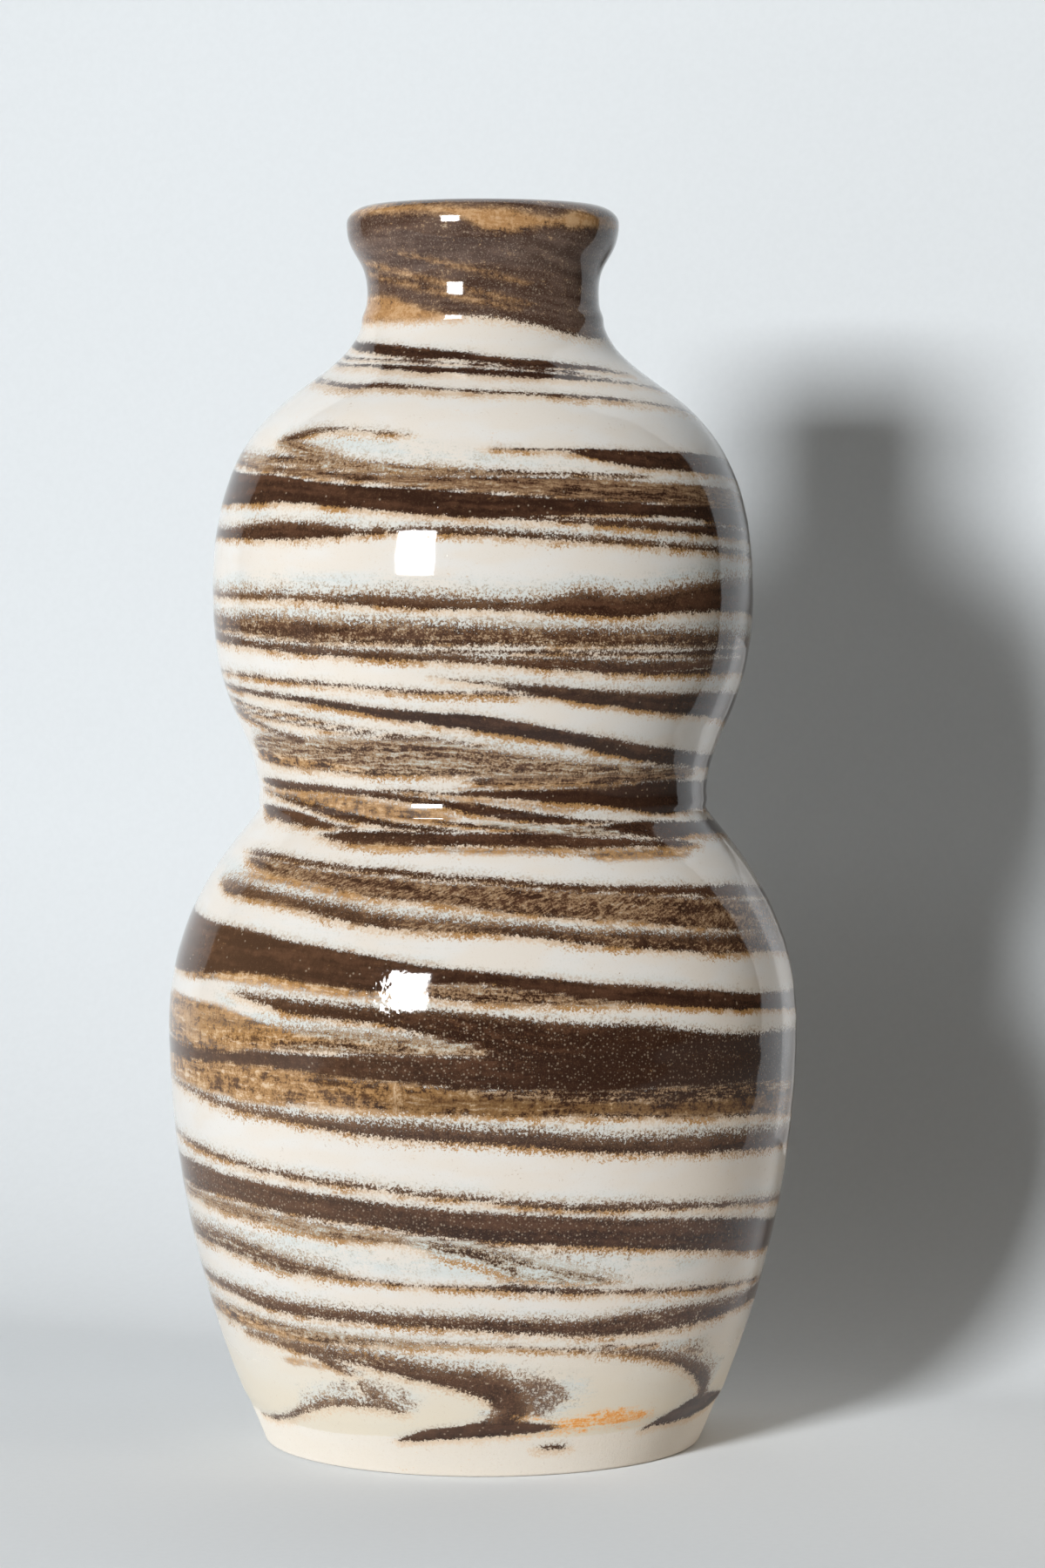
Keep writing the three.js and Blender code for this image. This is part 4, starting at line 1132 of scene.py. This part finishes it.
coat = outside_glaze()
liner = lining()
lower = lower_wall()
waist_seam = ring("waist_joint_slip", WAIST_HEIGHT, waist_top, waist_groove, waist_tongue, SEAM_ROWS, slip)
upper = ring("upper_wall", waist_top, NECK_JOINT_HEIGHT, waist_tongue, neck_groove, UPPER_ROWS, wall_clay)
neck_seam = ring("neck_joint_slip", NECK_JOINT_HEIGHT, neck_top, neck_groove, neck_tongue, SEAM_ROWS, slip)
neck = neck_wall(neck_top, neck_tongue, neck_clay)
pieces = [
    (coat, "glaze_outside", "glazed_marbling"),
    (liner, "glaze_inside", "glazed_lining"),
    (lower, "lower_bulb", "marbled_clay"),
    (waist_seam, "waist_slip", "slip"),
    (upper, "upper_bulb", "marbled_clay"),
    (neck_seam, "neck_slip", "slip"),
    (neck, "neck_and_lip", "brown_clay"),
]
for piece, node, slot in pieces:
    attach(piece, "root")
    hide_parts(node)


# Stage, in metres: a sheet of pale paper that lies under the vase and sweeps up behind it, on a pale table.
SWEEP_LEFT, SWEEP_RIGHT, SWEEP_FRONT, SWEEP_TURN = -1.02, 0.189, -0.75, -24.0
SWEEP_BACK, SWEEP_BEND, SWEEP_TOP, BEND_STEPS = 0.186, 0.11, 0.62, 32
TABLE_HALF, TABLE_DROP = 6.0, 0.0012
# The last colour is a painted shade: the dark colour that the paper in front of the vase shows in
# reflections.
SHEET_COLOUR, TABLE_COLOUR, PAINTED_SHADE_COLOUR = (0.845, 0.865, 0.88), (0.70, 0.68, 0.64), (0.12, 0.11, 0.10)

# Roughness of the paper, its sheen, the roughness of its matt part, and its darkest shade as a share.
PAPER_ROUGHNESS, PAPER_SHEEN, PAPER_MATT, PAPER_SHADE = 0.95, 0.1, 0.2, 0.985

# Painted shade in reflections: the glaze mirrors the paper in its lit colour only as far forward as this, in
# mm from the axis. Further forward, glossy rays see the paper painted dark, fading from first to second.
MIRRORED_TO = (-270, -330)


def paper(name, colour, see_through_back):
    """Matt paper. The sheet isn't seen from behind, so that the vase shows from there."""
    s = Shader(name)
    shaded = tuple(PAPER_SHADE * c for c in colour)
    colour = s.mix(s.step(s.noise(s.place, 1.5, 3.0), -0.9, 0.9), shaded, colour)
    # Painted shade: glossy rays see the paper in front of MIRRORED_TO painted in a dark colour, as if it were
    # unlit.
    mirrored = s.value("ShaderNodeLightPath", (), "Is Glossy Ray")
    s.put(s.surface.inputs["Base Color"], s.mix(mirrored * s.step(s.y, *MIRRORED_TO), colour, PAINTED_SHADE_COLOUR))
    s.surface.inputs["Roughness"].default_value = PAPER_ROUGHNESS
    s.surface.inputs["Specular IOR Level"].default_value = PAPER_SHEEN
    s.surface.inputs["Diffuse Roughness"].default_value = PAPER_MATT
    if see_through_back:
        back = s.node("ShaderNodeNewGeometry").outputs["Backfacing"]
        clear = s.node("ShaderNodeBsdfTransparent").outputs[0]
        both = s.node("ShaderNodeMixShader", {0: back, 1: s.surface.outputs[0], 2: clear}).outputs[0]
        s.tree.links.new(both, s.tree.nodes["Material Output"].inputs[0])
    return s.material


def stage_piece(name, points, faces, material):
    """A mesh of the stage, which is no part of the vase."""
    made = linked_object(name, points, faces)
    made.data.materials.append(material)


def sweep():
    """The paper, as a run of (depth, height) from the front, over the bend and up, turned about the vase."""
    bend, foot = np.radians(np.linspace(0, 90, BEND_STEPS)), SWEEP_BACK - SWEEP_BEND
    run = [(SWEEP_FRONT, 0.0)]
    run += [(foot + SWEEP_BEND * math.sin(t), SWEEP_BEND * (1 - math.cos(t))) for t in bend]
    run += [(SWEEP_BACK, SWEEP_TOP)]
    c, r = math.cos(math.radians(SWEEP_TURN)), math.sin(math.radians(SWEEP_TURN))
    points = [(x * c - y * r, x * r + y * c, z) for y, z in run for x in (SWEEP_LEFT, SWEEP_RIGHT)]
    faces = [(2 * i, 2 * i + 1, 2 * i + 3, 2 * i + 2) for i in range(len(run) - 1)]
    stage_piece("paper_sweep", points, faces, paper("sweep paper", SHEET_COLOUR, True))


def table():
    """The table, a little lower than the paper on it."""
    corners = ((-1, -1), (1, -1), (1, 1), (-1, 1))
    points = [(x * TABLE_HALF, y * TABLE_HALF, -TABLE_DROP) for x, y in corners]
    stage_piece("table", points, [(0, 1, 2, 3)], paper("table top", TABLE_COLOUR, False))


sweep()
table()


def area_light(name, turn, distance, height, size, power, colour, target, hidden_from):
    """A lamp at an angle about the vase, aimed at a target. The camera doesn't see it, and neither does the
    kind of ray that it is hidden from."""
    lamp = bpy.data.lights.new(name, "AREA")
    lamp.shape = "RECTANGLE"
    lamp.size, lamp.size_y = size
    lamp.energy, lamp.color = power, colour
    made = bpy.data.objects.new(name, lamp)
    bpy.context.scene.collection.objects.link(made)
    turn = math.radians(turn)
    made.location = (distance * math.sin(turn), -distance * math.cos(turn), height)
    x, y, z = np.array(target) - np.array(made.location)
    made.rotation_euler = (math.atan2(math.hypot(x, y), -z), 0, math.atan2(-x, y))
    made.visible_camera = False
    setattr(made, "visible_" + hidden_from, False)
    return made


# Light: a lamp to the front left, the window that the glaze mirrors in nearly the same place, a pale card
# that only the right rim of the lower bulb mirrors, warm light thrown back at the foot, and a dim room.
WHITE, COOL, WARM = (1.0, 1.0, 1.0), (0.95, 0.98, 1.0), (1.0, 0.84, 0.66)
MIDDLE, RIM, FOOT = (0, 0, 0.15), (0.06, -0.02, 0.075), (0.02, 0, 0.0)
ROOM_COLOUR, ROOM_STRENGTH = (1.0, 0.9, 0.70, 1), 0.038
BOUNCE_SPREAD = 50
area_light("lamp", turn=-28.0, distance=1.2, height=0.455, size=(0.25, 0.20), power=15.6,
           colour=COOL, target=MIDDLE, hidden_from="glossy")
area_light("window", turn=-27.2, distance=0.60, height=0.278, size=(0.162, 0.15), power=2.9,
           colour=WHITE, target=MIDDLE, hidden_from="diffuse")
area_light("card", turn=132.0, distance=0.171, height=0.075, size=(0.064, 0.15), power=0.011,
           colour=WHITE, target=RIM, hidden_from="diffuse")
bounce = area_light("bounce", turn=62.0, distance=0.42, height=0.09, size=(0.16, 0.06), power=0.026,
                    colour=WARM, target=FOOT, hidden_from="glossy")
bounce.data.spread = math.radians(BOUNCE_SPREAD)

world = bpy.data.worlds.new("room")
bpy.context.scene.world = world
world.use_nodes = True
background = world.node_tree.nodes["Background"].inputs
background["Color"].default_value = ROOM_COLOUR
background["Strength"].default_value = ROOM_STRENGTH

# Camera: the photograph's place and lens. The picture is 1800 pixels high, and the vase's axis stands at
# pixel column 554.5 of 1200.
FOCAL_PIXELS, PICTURE_WIDTH, PICTURE_HEIGHT, AXIS_COLUMN = 5412.0, 1200, 1800, 554.5
CAMERA_BACK, CAMERA_HEIGHT, CAMERA_PITCH, SENSOR_WIDTH = 0.9562, 0.1837, 3.02, 36.0
view = bpy.data.cameras.new("camera")
view.sensor_width = SENSOR_WIDTH
view.lens = FOCAL_PIXELS / PICTURE_HEIGHT * SENSOR_WIDTH
view.shift_x = (PICTURE_WIDTH / 2 - AXIS_COLUMN) / PICTURE_HEIGHT
camera = bpy.data.objects.new("camera", view)
bpy.context.scene.collection.objects.link(camera)
camera.location = (0, -CAMERA_BACK, CAMERA_HEIGHT)
camera.rotation_euler = (math.radians(90 - CAMERA_PITCH), 0, 0)
bpy.context.scene.camera = camera
bpy.context.scene.view_settings.view_transform = "Standard"
